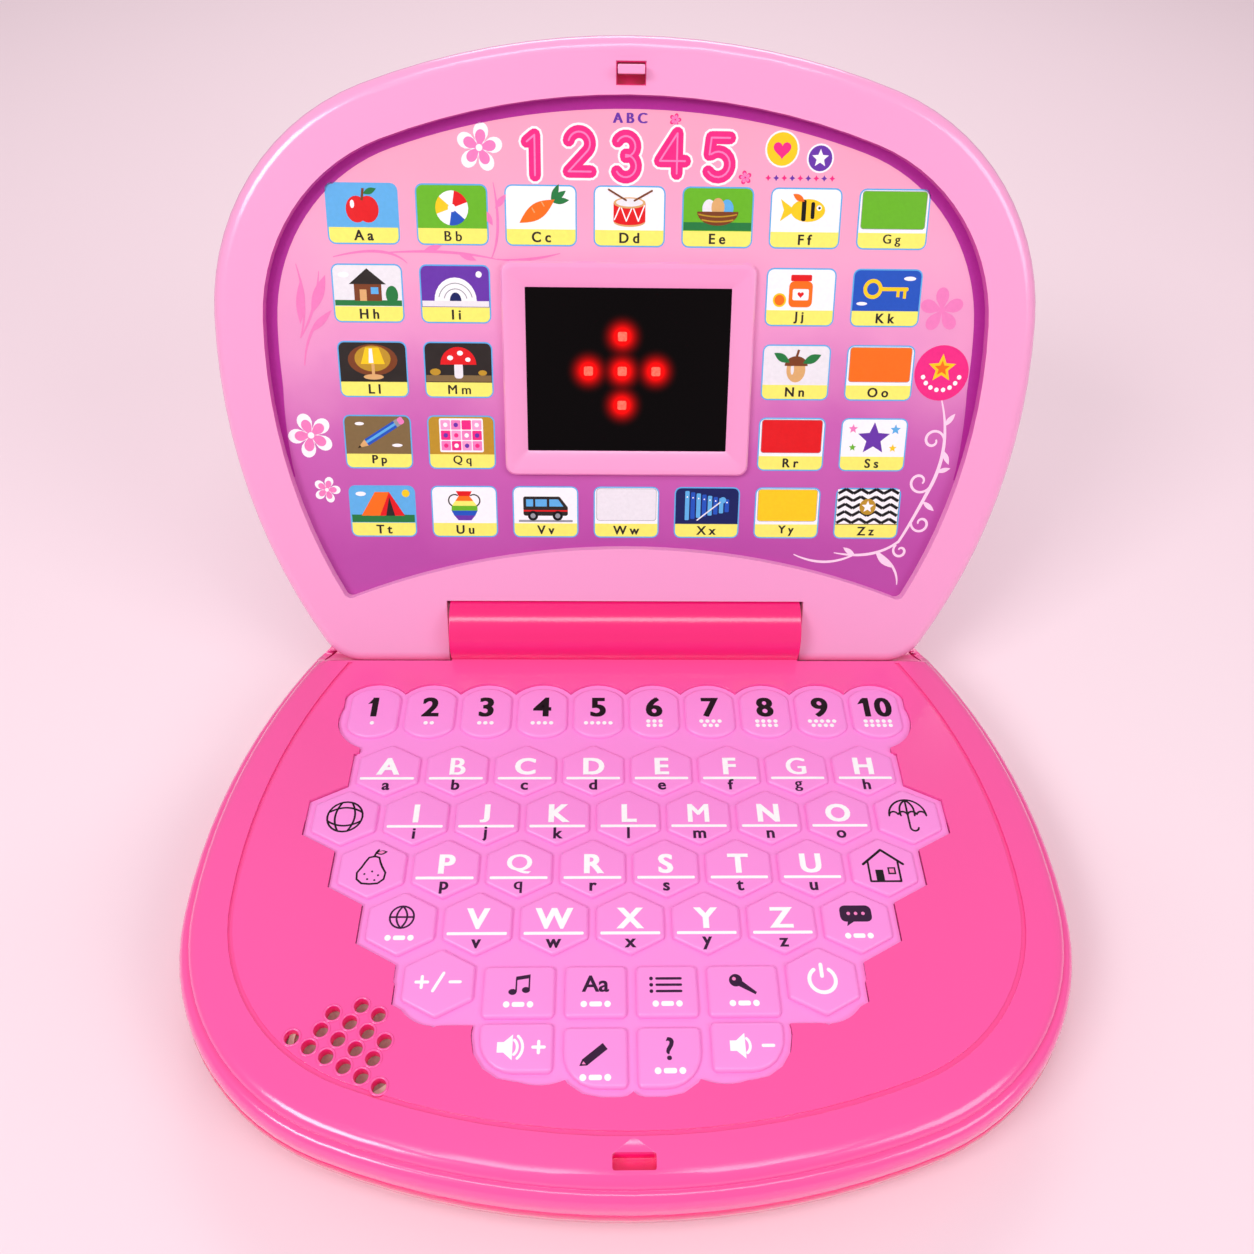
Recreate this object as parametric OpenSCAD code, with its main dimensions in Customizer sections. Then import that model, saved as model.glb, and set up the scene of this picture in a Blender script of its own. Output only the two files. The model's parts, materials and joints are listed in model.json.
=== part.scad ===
// Toy laptop computer: a hollow base with a rubber keypad, and a hinged lid with a small light display.
// X runs to the right, Y to the rear and Z up. The origin is on the table, at the centre of the open toy.
// Shapes in plan are written as [x, -t], where t is the distance forward of the hinge axis.

/* [Body outline] */
// Widest width of the base and of the lid
body_w = 245; // [236:1:256]
// Distance from the hinge axis to the front edge
front_reach = 173.3; // [170:0.1:178]
// Distance from the hinge axis to the widest place
widest_at = 86; // [82:0.5:90]
// Radius of the long front curve
front_r = 225; // [215:1:240]
// Radius of the front corners
corner_r = 71; // [66:1:76]
// Radius of the long side curves
side_r = 178; // [170:1:190]
// Radius of the rear corners, beside the hinge
rear_corner_r = 14; // [11:0.5:18]

/* [Base shell] */
// Height of the deck above the table
deck_h = 28; // [27.5:0.1:31]
// Height of the line where the two base covers part
base_part_h = 17.5; // [16.5:0.1:18]
// Height of the rubber feet below the bottom cover
foot_h = 1.5; // [1:0.1:2.5]
// Wall thickness of all covers
wall = 2; // [1.6:0.1:2.2]
// Distance of the deck groove from the outline
groove_inset = 14.5; // [12:0.5:16]
// Width of the deck groove
groove_w = 1.2; // [0.8:0.1:1.6]
// Depth of the deck groove
groove_deep = 0.7; // [0.4:0.1:1]
// Distance of the deck's shoulder from the outline
shoulder_inset = 3.8; // [3.4:0.1:4.4]

/* [Hinge] */
// Height of the hinge axis above the deck
axis_rise = 5; // [4.8:0.1:5.4]
// Radius of the hinge barrel and of the lid's ears
barrel_r = 11; // [10.6:0.1:11.2]
// Length of the hinge barrel
barrel_len = 113; // [108:1:120]
// Sideways gap between the barrel and each ear
ear_gap = 1; // [0.6:0.1:1.4]
// Radial gap around the barrel and the ears
hinge_gap = 0.5; // [0.4:0.05:0.6]
// Radius of the hinge pins
pin_r = 2.5; // [2:0.1:3]
// Length of each hinge pin
pin_len = 20; // [18:0.5:22]
// Length of each hinge pin inside the barrel
pin_seat = 9.5; // [8:0.5:11]
// Radial running clearance of a hinge pin in its ear
pin_clear = 0.05; // [0.03:0.01:0.08]
// Angle of the lid when open, from closed
lid_open = 116; // [110:1:120]

/* [Lid shell] */
// Gap between the closed lid and the deck
closed_gap = 0.4; // [0.3:0.1:0.6]
// Thickness of the lid
lid_t = 15.2; // [14.6:0.1:15.4]
// Distance of the lid's parting plane from the hinge axis, towards the back cover
lid_part = 1; // [0.8:0.1:1.4]
// Width of the rounded edge around the lid's rim face
rim_round = 4.2; // [3.6:0.1:4.8]
// Distance of the picture window from the outline
window_inset = 15; // [14:0.5:16]
// Distance of the window's lower edge from the hinge axis, at the middle
window_foot = 28.1; // [26:0.1:30]
// Radius of the window's curved lower edge
window_foot_r = 239.3; // [230:0.1:260]
// Depth of the picture panel below the rim face
panel_deep = 3.5; // [3.2:0.1:3.8]
// Thickness of the picture panel
panel_t = 1; // [0.6:0.1:1.2]

/* [Screen] */
// Width of the raised screen frame
bezel_w = 75; // [72:0.5:78]
// Height of the raised screen frame
bezel_h = 63; // [60:0.5:66]
// Width of the dark screen
screen_w = 61.2; // [58:0.2:64]
// Height of the dark screen
screen_h = 48.4; // [46:0.2:52]
// Distance of the screen's centre from the hinge axis
screen_at = 83; // [81:0.1:85]
// Rise of the screen frame above the picture panel
bezel_rise = 2.5; // [2:0.1:2.8]
// Thickness of the dark window plate
screen_t = 1.2; // [1:0.1:1.5]
// Spacing of the lights
light_pitch = 10.2; // [9.6:0.1:10.8]
// Width of each light
light_w = 3.2; // [2.8:0.1:3.8]
// Sideways offset of the lights from the screen's centre
light_shift = -1.7; // [-2:0.1:0]

/* [Keys] */
// Spacing of the letter keys along a row
key_pitch = 20.3; // [20:0.1:20.8]
// Spacing of the rows of letter keys
row_pitch = 16.7; // [16.4:0.1:17.2]
// Distance of the first letter row from the hinge axis
first_row = 54; // [53.4:0.1:54.6]
// Width of a letter key
hex_w = 17.9; // [17.4:0.1:18.1]
// Height of a letter key, from point to point
hex_h = 18.3; // [17.6:0.1:18.6]
// Length of a letter key's straight sides
hex_side = 9; // [8.4:0.1:9.6]
// Spacing of the number keys
number_pitch = 17.45; // [17.2:0.05:17.7]
// Distance of the number row from the hinge axis
number_row = 32; // [31.6:0.1:32.2]
// Radius of a number key's curved ends
number_r = 9.6; // [9.2:0.1:9.8]
// Width of a number key
number_w = 15.1; // [14.6:0.1:15.2]
// Rise of the keys above the keypad
key_rise = 1.2; // [1:0.1:1.4]
// Travel of a pressed key
key_travel = 1; // [0.8:0.1:1.1]
// Gap around each key in the keypad
key_gap = 0.3; // [0.25:0.05:0.4]
// Width of the hidden lip that keeps a key in the keypad
key_lip = 0.8; // [0.7:0.05:0.9]
// Width of the keypad's border around the keys
mat_border = 2.3; // [2:0.1:2.6]
// Depth of the keypad's face below the deck
mat_deep = 1; // [0.8:0.1:1.2]

/* [Speaker] */
// Distance of the speaker's centre from the left side
speaker_inset = 53.5; // [51.5:0.5:55.5]
// Distance of the speaker's centre from the hinge axis
speaker_at = 134.5; // [133:0.5:136]
// Radius of the speaker
speaker_r = 16; // [15:0.5:16.5]
// Radius of the speaker holes
sound_hole_r = 1.85; // [1.6:0.05:2]
// Spacing of the speaker holes along a row
sound_pitch = 5.2; // [5:0.1:5.4]
// Spacing of the rows of speaker holes
sound_row = 4.8; // [4.6:0.1:5]
// Turn of the rows of speaker holes
sound_turn = -27.5; // [-35:0.5:-20]

/* [Batteries] */
// Radius of each battery
cell_r = 7.25; // [7:0.05:7.25]
// Length of each battery
cell_len = 50.5; // [50:0.5:51]
// Distance of the battery bay's middle from the hinge axis
bay_at = 54; // [52:0.5:56]
// Gap around the battery door
door_gap = 0.3; // [0.25:0.05:0.4]

/* [Fasteners] */
// Radius of a screw's shank
screw_r = 1.3; // [1.1:0.05:1.5]
// Radius of a screw's head
head_r = 2.5; // [2.2:0.1:2.8]
// Radius of a screw boss
boss_r = 3.4; // [3.2:0.1:3.8]
// Radius of each rubber foot
foot_r = 7; // [6:0.5:8]

/* [Latch] */
// Width of the latch hook
hook_w = 7.4; // [6.8:0.1:8]
// Thickness of the latch hook
hook_t = 1.8; // [1.6:0.1:2]
// Distance of the latch hook's middle from the hinge axis
hook_at = 164.5; // [164:0.1:165]
// Reach of the latch hook beyond the rim face
hook_reach = 3.5; // [3:0.1:4]
// Width of the latch slot in the deck
slot_w = 10.2; // [9.6:0.1:11]
// Length of the latch slot, front to rear
slot_len = 3.8; // [3.6:0.1:3.9]

/* [Hidden] */
$fn = 48;
eps = 0.01;

// Heights in the base.
axis_z = deck_h + axis_rise;
deck_under = deck_h - wall;
mat_z = deck_h - mat_deep;
mat_t = 2;
mat_under = mat_z - mat_t;
lip_t = 1.4;
lip_under_gap = 0.3;
key_top = mat_z + key_rise;
key_bottom = mat_under - lip_under_gap - lip_t;
board_gap = 0.2;
board_t = 1.6;
board_top = key_bottom - key_travel - board_gap;
floor_top = foot_h + wall;
well_r = barrel_r + hinge_gap;

// Lid planes, measured along the lid's own thickness: negative is the face towards the keys.
rim_z = -(axis_rise - closed_gap);
back_z = rim_z + lid_t;
panel_z = rim_z + panel_deep;
panel_back = panel_z + panel_t;
screen_back = panel_z + screen_t;
light_t = 1.4;
light_gap = 0.2;
display_z = screen_back + light_gap + light_t;
notch_half = barrel_len / 2 + ear_gap;

// Edge of the plan outline: four arcs for each half, each tangent to the next.
function arc(c, r, a0, a1, n) = [for (i = [1:n]) let (a = a0 + (a1 - a0) * i / n) c + r * [cos(a), sin(a)]];
function angle_to(a, b) = atan2(b[1] - a[1], b[0] - a[0]);
function meet(a, ra, b, rb) =
    let (v = b - a, l = norm(v), u = v / l, s = (ra * ra - rb * rb + l * l) / (2 * l))
    a + s * u + sqrt(ra * ra - s * s) * [u[1], -u[0]];
front_c = [0, front_reach - front_r];
side_c = [body_w / 2 - side_r, widest_at];
corner_c = meet(front_c, front_r - corner_r, side_c, side_r - corner_r);
rear_reach = barrel_r + 0.2;
function rear_r(inset) = max(rear_corner_r - inset, 1.5);
function rear_c(inset) =
    let (r = rear_r(inset), t = inset + r - rear_reach, s = side_r - inset - r)
    [side_c[0] + sqrt(s * s - pow(t - side_c[1], 2)), t];
function half_outline(inset) = concat(
    arc(front_c, front_r - inset, 90, angle_to(front_c, corner_c), 8),
    arc(corner_c, corner_r - inset, angle_to(front_c, corner_c), angle_to(side_c, corner_c), 14),
    arc(side_c, side_r - inset, angle_to(side_c, corner_c), angle_to(side_c, rear_c(inset)), 12),
    arc(rear_c(inset), rear_r(inset), angle_to(side_c, rear_c(inset)), -90, 6));
function outline(inset) = let (h = half_outline(inset), n = len(h)) concat(
    [[0, inset - front_reach]],
    [for (p = h) [p[0], -p[1]]],
    [for (i = [n - 1:-1:0]) [-h[i][0], -h[i][1]]]);

// Levels of a rounded edge: [inset, height] pairs along a quarter ellipse, from the side to the top.
function bulge(inset, z, d_inset, d_z, n) =
    [for (i = [0:n]) let (a = 90 * i / n) [inset + d_inset * (1 - cos(a)), z + d_z * sin(a)]];
function rising(levels) =
    let (n = len(levels)) levels[n - 1][1] > levels[0][1] ? levels : [for (i = [n - 1:-1:0]) levels[i]];
// A solid with one outline ring at each level.
module shell_body(levels) {
    steps = rising(levels);
    m = len(steps);
    n = len(outline(0));
    points = [for (l = steps) for (p = outline(l[0])) [p[0], p[1], l[1]]];
    sides = [for (j = [0:m - 2]) for (i = [0:n - 1])
        let (a = j * n + i, b = j * n + (i + 1) % n) each [[a, a + n, b + n], [a, b + n, b]]];
    caps = [[for (i = [0:n - 1]) i], [for (i = [n - 1:-1:0]) (m - 1) * n + i]];
    polyhedron(points, concat(sides, caps));
}

// The lip bulges out around the foot of the deck's shoulder; both covers are hollow inside their walls.
lip_inset = 0.4;
lip_side = base_part_h + 2.3;
lip_top = deck_h - 3.8;
shoulder_z = deck_h - 3.2;
cavity_round_w = 7.2;
cavity_round_h = 5.4;
lip_levels = concat([[lip_inset, base_part_h]],
    bulge(lip_inset, lip_side, shoulder_inset - lip_inset - 0.5, lip_top - lip_side, 4));
shoulder_levels = concat([[shoulder_inset, base_part_h]],
    bulge(shoulder_inset, shoulder_z, 4, 2.5, 4), [[groove_inset, deck_h]]);
top_cavity_levels = concat([[lip_inset + wall, base_part_h - 1]],
    bulge(lip_inset + wall + 0.3, deck_under - cavity_round_h, cavity_round_w, cavity_round_h, 4));
belly_z = base_part_h - 2.5;
belly_round = 14;
belly_levels = concat([[0.3, base_part_h], [0, base_part_h - 0.8]],
    bulge(0, belly_z, belly_round, foot_h - belly_z, 6));
bottom_cavity_levels = concat([[0.3 + wall, base_part_h + 1]],
    bulge(wall, belly_z, belly_round, floor_top - belly_z, 5));
frame_levels = concat([[0, lid_part]], bulge(0, rim_z + 3.6, rim_round, -3.6, 5));
frame_cavity_levels = concat([[wall, lid_part + 1]],
    bulge(wall, rim_z + wall + 1.8, rim_round, -1.8, 3));
back_levels = concat([[0, lid_part]], bulge(0, lid_part + 1.5, 12, back_z - lid_part - 1.5, 6));
back_cavity_levels = concat([[wall, lid_part - 1]],
    bulge(wall, lid_part + 1.5, 12, back_z - wall - lid_part - 1.5, 4));

// The hinge line is placed so that the open toy is centred on the origin.
function open_reach(l) = (front_reach - l[0]) * -cos(lid_open) + l[1] * sin(lid_open);
rear_extent = max([for (l = back_levels) open_reach(l)]);
hinge_y = (front_reach - rear_extent) / 2;
module in_base() translate([0, hinge_y, 0]) children();
module in_lid() translate([0, hinge_y, axis_z]) rotate([-lid_open, 0, 0]) children();

speaker_x = speaker_inset - body_w / 2;

// Key table: [node name, shape, x, distance from the hinge axis].
row_at = [for (i = [0:4]) first_row + i * row_pitch];
letters = "abcdefghijklmnopqrstuvwxyz";
letter_rows = [8, 7, 6, 5];
letter_starts = [0, 8, 15, 21];
number_keys = [for (i = [0:9]) [str("key_", i + 1), "number", (i - 4.5) * number_pitch, number_row]];
letter_keys = [for (r = [0:3]) for (i = [0:letter_rows[r] - 1])
    let (x = (i - (letter_rows[r] - 1) / 2) * key_pitch)
    [str("key_", letters[letter_starts[r] + i]), "hex", x, row_at[r]]];
side_hex_x = 2.43 * key_pitch;
outer_key_w = hex_w;
inner_key_w = 15.4;
inner_key_x = 9.1;
outer_key_x = inner_key_x + (inner_key_w + outer_key_w) / 2 + key_pitch - hex_w + 0.5;
mode_h = 13.4;
mode_at = row_at[4] + 2.6;
volume_h = 12;
volume_at = mode_at + (mode_h + volume_h) / 2 + 1.7;
spell_h = 14.6;
spell_at = volume_at + 2.5;
power_keys = [
    ["key_power", "hex", side_hex_x, row_at[4]],
    ["key_volume_up", "volume_up", -outer_key_x, volume_at],
    ["key_volume_down", "volume_down", outer_key_x, volume_at]];
moving_keys = concat(number_keys, letter_keys, power_keys);
fixed_keys = [
    ["", "hex", -4 * key_pitch, row_at[1]], ["", "hex", 4 * key_pitch, row_at[1]],
    ["", "hex", -3.5 * key_pitch, row_at[2]], ["", "hex", 3.5 * key_pitch, row_at[2]],
    ["", "hex", -3 * key_pitch, row_at[3]], ["", "hex", 3 * key_pitch, row_at[3]],
    ["", "hex", -side_hex_x, row_at[4]],
    ["", "outer", -outer_key_x, mode_at], ["", "inner", -inner_key_x, mode_at],
    ["", "inner", inner_key_x, mode_at], ["", "outer", outer_key_x, mode_at],
    ["", "spell_left", -inner_key_x, spell_at], ["", "spell_right", inner_key_x, spell_at]];

// Outlines of single keys, grown outwards by g.
module hex_key(g) {
    w = hex_w / 2 + g;
    s = hex_side / 2 + g * 0.55;
    h = hex_h / 2 + g * 1.15;
    polygon([[w, -s], [w, s], [0, h], [-w, s], [-w, -s], [0, -h]]);
}
number_corner = 3;
// A number key: two arcs about its centre, joined to straight sides by rounded corners.
function number_outline(g) =
    let (
        r = number_r + g,
        x = number_w / 2 + g - number_corner,
        y = sqrt(pow(r - number_corner, 2) - x * x),
        turn = atan2(y, x))
    concat(
        [[x + number_corner, y]], arc([x, y], number_corner, 0, turn, 3), arc([0, 0], r, turn, 180 - turn, 10),
        arc([-x, y], number_corner, 180 - turn, 180, 3),
        [[-x - number_corner, -y]], arc([-x, -y], number_corner, 180, 180 + turn, 3),
        arc([0, 0], r, 180 + turn, 360 - turn, 10), arc([x, -y], number_corner, -turn, 0, 3));
module number_key(g) polygon(number_outline(g));
function corner_arc(w, h, r, sx, sy, a0) =
    [for (i = [0:4]) let (a = a0 + i * 22.5) [sx * (w / 2 - r) + r * cos(a), sy * (h / 2 - r) + r * sin(a)]];
// A rounded rectangle; the radii run counter-clockwise from the rear right corner.
corner_signs = [[1, 1], [-1, 1], [-1, -1], [1, -1]];
module round_key(w, h, radii, g)
    polygon([for (i = [0:3])
        each corner_arc(w + 2 * g, h + 2 * g, radii[i] + g, corner_signs[i][0], corner_signs[i][1], 90 * i)]);
small_r = 1.5;
large_r = 9;
even_corners = [small_r, small_r, small_r, small_r];
round_left = [small_r, small_r, large_r, small_r];
round_right = [small_r, small_r, small_r, large_r];
module key_shape(kind, g) {
    if (kind == "hex") hex_key(g);
    if (kind == "number") number_key(g);
    if (kind == "outer") round_key(outer_key_w, mode_h, even_corners, g);
    if (kind == "inner") round_key(inner_key_w, mode_h, even_corners, g);
    if (kind == "volume_up") round_key(outer_key_w, volume_h, round_left, g);
    if (kind == "volume_down") round_key(outer_key_w, volume_h, round_right, g);
    if (kind == "spell_left") round_key(inner_key_w, spell_h, round_left, g);
    if (kind == "spell_right") round_key(inner_key_w, spell_h, round_right, g);
}
module at_key(k) translate([k[2], -k[3]]) children();
// The whole keypad's outline: every key grown by g, and round lobes beside the first row and the last rows.
lobe_r = 9.9;
lobe_x = 4.5 * number_pitch - 1.6;
lobe_at = number_row + 2.2;
volume_lobe_r = 13.7;
volume_lobe_x = outer_key_x - 6;
volume_lobe_at = volume_at - 6.8;
module mat_shape(g) {
    for (k = concat(moving_keys, fixed_keys)) at_key(k) key_shape(k[1], g);
    for (s = [-1, 1]) {
        translate([s * lobe_x, -lobe_at]) circle(lobe_r + g);
        translate([s * side_hex_x, -row_at[4] - 0.6]) circle(hex_w / 2 + g - 0.4);
        translate([s * (side_hex_x - 6.3), -row_at[4] - 4]) square([12, 10 + 2 * g], center = true);
        translate([s * volume_lobe_x, -volume_lobe_at]) circle(volume_lobe_r + g);
        translate([s * 2 * key_pitch, -row_at[3]]) square([2 * key_pitch, 2 * row_pitch], center = true);
    }
    translate([0, -first_row]) square([8 * key_pitch - 4 + 2 * g, hex_side + 4], center = true);
    translate([0, -(number_row + first_row) / 2])
        square([9 * number_pitch + 2 * g, first_row - number_row], center = true);
    translate([0, -row_at[1]]) square([8 * key_pitch, hex_side + 4], center = true);
    translate([0, -row_at[2]]) square([7 * key_pitch, hex_side + 4], center = true);
    translate([0, -mode_at]) square([2 * outer_key_x + outer_key_w, 2 * row_pitch], center = true);
    translate([0, -spell_at + 2]) square([2 * outer_key_x, spell_h], center = true);
}
module slab(z0, z1) translate([0, 0, z0]) linear_extrude(z1 - z0) children();
pad_step = 0.4;
module raised_key(z0, kind) {
    slab(z0, key_top - pad_step) key_shape(kind, 0);
    slab(key_top - pad_step, key_top) key_shape(kind, -pad_step);
}

// Hinge spaces.
module tube_x(r, x0, x1) translate([x0, 0, 0]) rotate([0, 90, 0]) cylinder(r = r, h = x1 - x0);
module both_sides() for (s = [0, 1]) mirror([s, 0, 0]) children();
module ear_well(r)
    both_sides() translate([0, 0, axis_z]) {
        tube_x(r, barrel_len / 2, body_w / 2 + 5);
        translate([barrel_len / 2, 0, -r]) cube([body_w / 2, barrel_r + 5, r + barrel_r + 5]);
    }

// Places of screws, posts and feet in plan: [x, distance from the hinge axis].
base_screw_at = [[46, 11.5], [103, 80], [40, 157.5]];
post_at = [[40, 101], [66, 50]];
foot_at = [[63, 15], [55, 140]];
lid_screw_inset = 8.6;
corner_screw_turn = 56;
lid_screw_at = [
    [body_w / 2 - lid_screw_inset, widest_at],
    corner_c + (corner_r - lid_screw_inset) * [cos(corner_screw_turn), sin(corner_screw_turn)],
    [73, 8.5]];
module at_each(points)
    both_sides() for (p = points) translate([p[0], -p[1], 0]) children();

module speaker_holes(r)
    translate([speaker_x, -speaker_at]) rotate(sound_turn)
        for (row = [[0, 6], [1, 4], [2, 4], [3, 2]])
            for (i = [0:row[1] - 1])
                translate([(i - (row[1] - 1) / 2) * sound_pitch, (row[0] - 1.5) * sound_row]) circle(r);

slot_at = hook_at - 0.4;
slot_floor = axis_z + rim_z - hook_reach - 1.4;
module base_top_cover() color("hotpink") in_base() difference() {
    union() {
        difference() {
            union() {
                shell_body(lip_levels);
                shell_body(shoulder_levels);
                translate([0, 0, axis_z]) tube_x(barrel_r, -barrel_len / 2, barrel_len / 2);
            }
            shell_body(top_cavity_levels);
            translate([0, 0, axis_z]) tube_x(barrel_r - wall, -barrel_len / 2 + 3, barrel_len / 2 - 3);
        }
        // Walls of the wells that the lid's ears turn in.
        intersection() {
            shell_body(shoulder_levels);
            both_sides() translate([0, 0, axis_z]) {
                tube_x(well_r + wall, barrel_len / 2 - wall, body_w / 2);
                translate([barrel_len / 2 - wall, 0, -well_r - wall]) cube([body_w / 2, barrel_r, 2 * wall]);
            }
        }
        // Bosses for the hinge pins, the screws and the latch pocket.
        both_sides() translate([0, 0, axis_z])
            tube_x(pin_r + 2.5, barrel_len / 2 - pin_seat - 1, barrel_len / 2 - 1);
        at_each(base_screw_at) slab(base_part_h - 1, deck_under + eps) circle(boss_r);
        translate([0, -slot_at, 0]) slab(slot_floor - 1.2, deck_under)
            square([slot_w + 2.4, slot_len + 2.4], center = true);
        slab(deck_under - 3.4, deck_under + eps) difference() {
            translate([speaker_x, -speaker_at]) circle(speaker_r + 1.6);
            translate([speaker_x, -speaker_at]) circle(speaker_r + 0.1);
            mat_shape(mat_border + 3);
        }
    }
    ear_well(well_r);
    slab(mat_under - 2, deck_h + 1) mat_shape(mat_border);
    slab(deck_h - groove_deep, deck_h + 1) difference() {
        polygon(outline(groove_inset));
        polygon(outline(groove_inset + groove_w));
        translate([0, 20]) square([2 * body_w, 2 * (barrel_r + 20)], center = true);
    }
    slab(deck_under - 1, deck_h + 1) speaker_holes(sound_hole_r);
    translate([0, -slot_at, 0]) slab(slot_floor, deck_h + 1) square([slot_w, slot_len], center = true);
    both_sides() translate([0, 0, axis_z]) tube_x(pin_r, barrel_len / 2 - pin_seat, barrel_len / 2 + 1);
    at_each(base_screw_at) slab(base_part_h - 2, base_part_h + 6) circle(screw_r);
}

bay_w = cell_len + 3.4;
bay_len = 6 * cell_r + 3.4;
bay_top = foot_h + 1.8 + 2 * cell_r + 0.6;
bay_wall = 1.4;
door_t = 1.8;
tab_w = 14;
tab_len = 8;
door_screw_at = bay_at + bay_len / 2 + 4;
head_t = 1.6;
module door_shape(g) {
    translate([0, -bay_at]) square([bay_w + 2 * g, bay_len + 2 * g], center = true);
    translate([0, -bay_at - (bay_len + tab_len) / 2]) square([tab_w + 2 * g, tab_len + 2 * g], center = true);
}
module base_bottom_cover() color("deeppink") in_base() difference() {
    union() {
        difference() {
            shell_body(belly_levels);
            shell_body(bottom_cavity_levels);
        }
        slab(base_part_h - 2.5, base_part_h + 1.5) difference() {
            polygon(outline(wall + 0.9));
            polygon(outline(wall + 1.9));
        }
        slab(base_part_h - 2.5, base_part_h - 0.5) difference() {
            polygon(outline(1));
            polygon(outline(wall + 1.9));
        }
        at_each(base_screw_at) slab(floor_top - 1, base_part_h - 1) circle(boss_r);
        at_each(post_at) slab(floor_top - 1, board_top - board_t) circle(boss_r);
        slab(floor_top - 1, bay_top + bay_wall) translate([0, -bay_at])
            square([bay_w + 2 * bay_wall, bay_len + 2 * bay_wall], center = true);
        translate([0, -door_screw_at, 0]) slab(floor_top - 1, floor_top + 7) circle(boss_r);
        slab(floor_top - 1, floor_top + 0.8) translate([0, -door_screw_at])
            square([tab_w + 3, tab_len + 3], center = true);
    }
    slab(foot_h - 1, foot_h + door_t) door_shape(door_gap);
    slab(foot_h, bay_top) translate([0, -bay_at]) square([bay_w, bay_len], center = true);
    translate([0, -door_screw_at, 0]) slab(foot_h, floor_top + 6) circle(screw_r + 0.08);
    at_each(base_screw_at) {
        slab(foot_h - 1, base_part_h) circle(screw_r);
        slab(foot_h - 1, foot_h + 5) circle(head_r + 0.3);
    }
    at_each(foot_at) slab(foot_h - 1, foot_h + 1) circle(foot_r);
}

skirt_t = 1;
module keypad_mat() color("violet") in_base() {
    difference() {
        union() {
            slab(mat_under, mat_z) mat_shape(mat_border - 0.3);
            slab(mat_under, deck_under) mat_shape(mat_border + 1.6);
        }
        for (k = moving_keys) slab(mat_under - 1, mat_z + 1) at_key(k) key_shape(k[1], key_gap);
        translate([speaker_x, -speaker_at, 0]) slab(mat_under - 1, deck_under) circle(speaker_r + 2);
    }
    slab(board_top, mat_under) difference() {
        mat_shape(mat_border);
        mat_shape(mat_border - skirt_t);
        translate([speaker_x, -speaker_at]) circle(speaker_r + 2);
    }
    for (k = fixed_keys) translate([k[2], -k[3], 0]) raised_key(mat_z, k[1]);
}

module key(k) color("violet") in_base() translate([k[2], -k[3], 0]) {
    slab(key_bottom, key_bottom + lip_t) key_shape(k[1], key_lip);
    raised_key(key_bottom + lip_t, k[1]);
}

module key_circuit_board() color("darkgreen") in_base() slab(board_top - board_t, board_top) difference() {
    mat_shape(mat_border + 0.4);
    translate([speaker_x, -speaker_at]) circle(speaker_r + 2.2);
}

cone_z = deck_under - 2.6;
basket_step = 2;
magnet_h = 4.5;
module speaker() color("lightgray") in_base() translate([speaker_x, -speaker_at, 0]) difference() {
    union() {
        slab(cone_z - basket_step, cone_z) circle(speaker_r);
        slab(cone_z - 2 * basket_step, cone_z - basket_step) circle(speaker_r * 0.8);
        slab(cone_z - 3 * basket_step, cone_z - 2 * basket_step) circle(speaker_r * 0.55);
        slab(cone_z - 3 * basket_step - magnet_h, cone_z - 3 * basket_step) circle(speaker_r * 0.6);
        slab(cone_z, deck_under) difference() {
            circle(speaker_r);
            circle(speaker_r - 1.4);
            translate([-speaker_x, speaker_at]) mat_shape(mat_border + 3);
        }
    }
    slab(cone_z - 1.2, cone_z + 1) circle(speaker_r - 2.4);
}

cell_z = foot_h + door_t + 0.2 + cell_r;
cell_gap = 0.4;
module each_cell()
    for (i = [-1:1]) translate([0, -bay_at + i * (2 * cell_r + cell_gap), cell_z])
        rotate([0, 0, i == 0 ? 180 : 0]) children();
module batteries() color("seagreen") in_base() each_cell() {
    tube_x(cell_r, -cell_len / 2, cell_len / 2 - 1);
    tube_x(2.7, cell_len / 2 - 1, cell_len / 2);
}
contact_t = 0.5;
contact_w = cell_r + 0.75;
module battery_contacts() color("silver") in_base() each_cell() {
    translate([cell_len / 2, -contact_w / 2, -contact_w / 2]) cube([contact_t, contact_w, contact_w]);
    tube_x(1.5, cell_len / 2 + contact_t, bay_w / 2);
    translate([-bay_w / 2, -contact_w / 2, -contact_w / 2]) cube([contact_t, contact_w, contact_w]);
    tube_x(2.5, -bay_w / 2 + contact_t, -cell_len / 2);
}

module battery_door() color("deeppink") in_base() difference() {
    slab(foot_h, foot_h + door_t) door_shape(0);
    translate([0, -door_screw_at, 0]) slab(foot_h - 1, foot_h + door_t + 1) circle(screw_r);
    translate([0, -door_screw_at, 0]) slab(foot_h - 1, foot_h + 1.2) circle(head_r);
}
module cross_slot(z0, z1) slab(z0, z1) {
    square([2.6, 0.6], center = true);
    square([0.6, 2.6], center = true);
}
module screw(z_head, t_head, z_end) difference() {
    union() {
        slab(z_head, z_head + t_head) circle(head_r);
        slab(min(z_head + t_head, z_end), max(z_head, z_end)) circle(screw_r);
    }
    cross_slot(z_head - 1, z_head + 0.6);
}
module battery_door_screw() color("silver") in_base()
    translate([0, -door_screw_at, 0]) screw(foot_h + 0.2, 1, floor_top + 5.5);
module base_screws() color("silver") in_base()
    at_each(base_screw_at) screw(foot_h + 5 - head_t, head_t, base_part_h + 5.5);
module rubber_feet() color("dimgray") in_base() at_each(foot_at) slab(0, foot_h + 1) circle(foot_r);

module hinge_pins() color("silver") in_base() both_sides() translate([0, 0, axis_z])
    tube_x(pin_r, barrel_len / 2 - pin_seat, barrel_len / 2 - pin_seat + pin_len);

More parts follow.
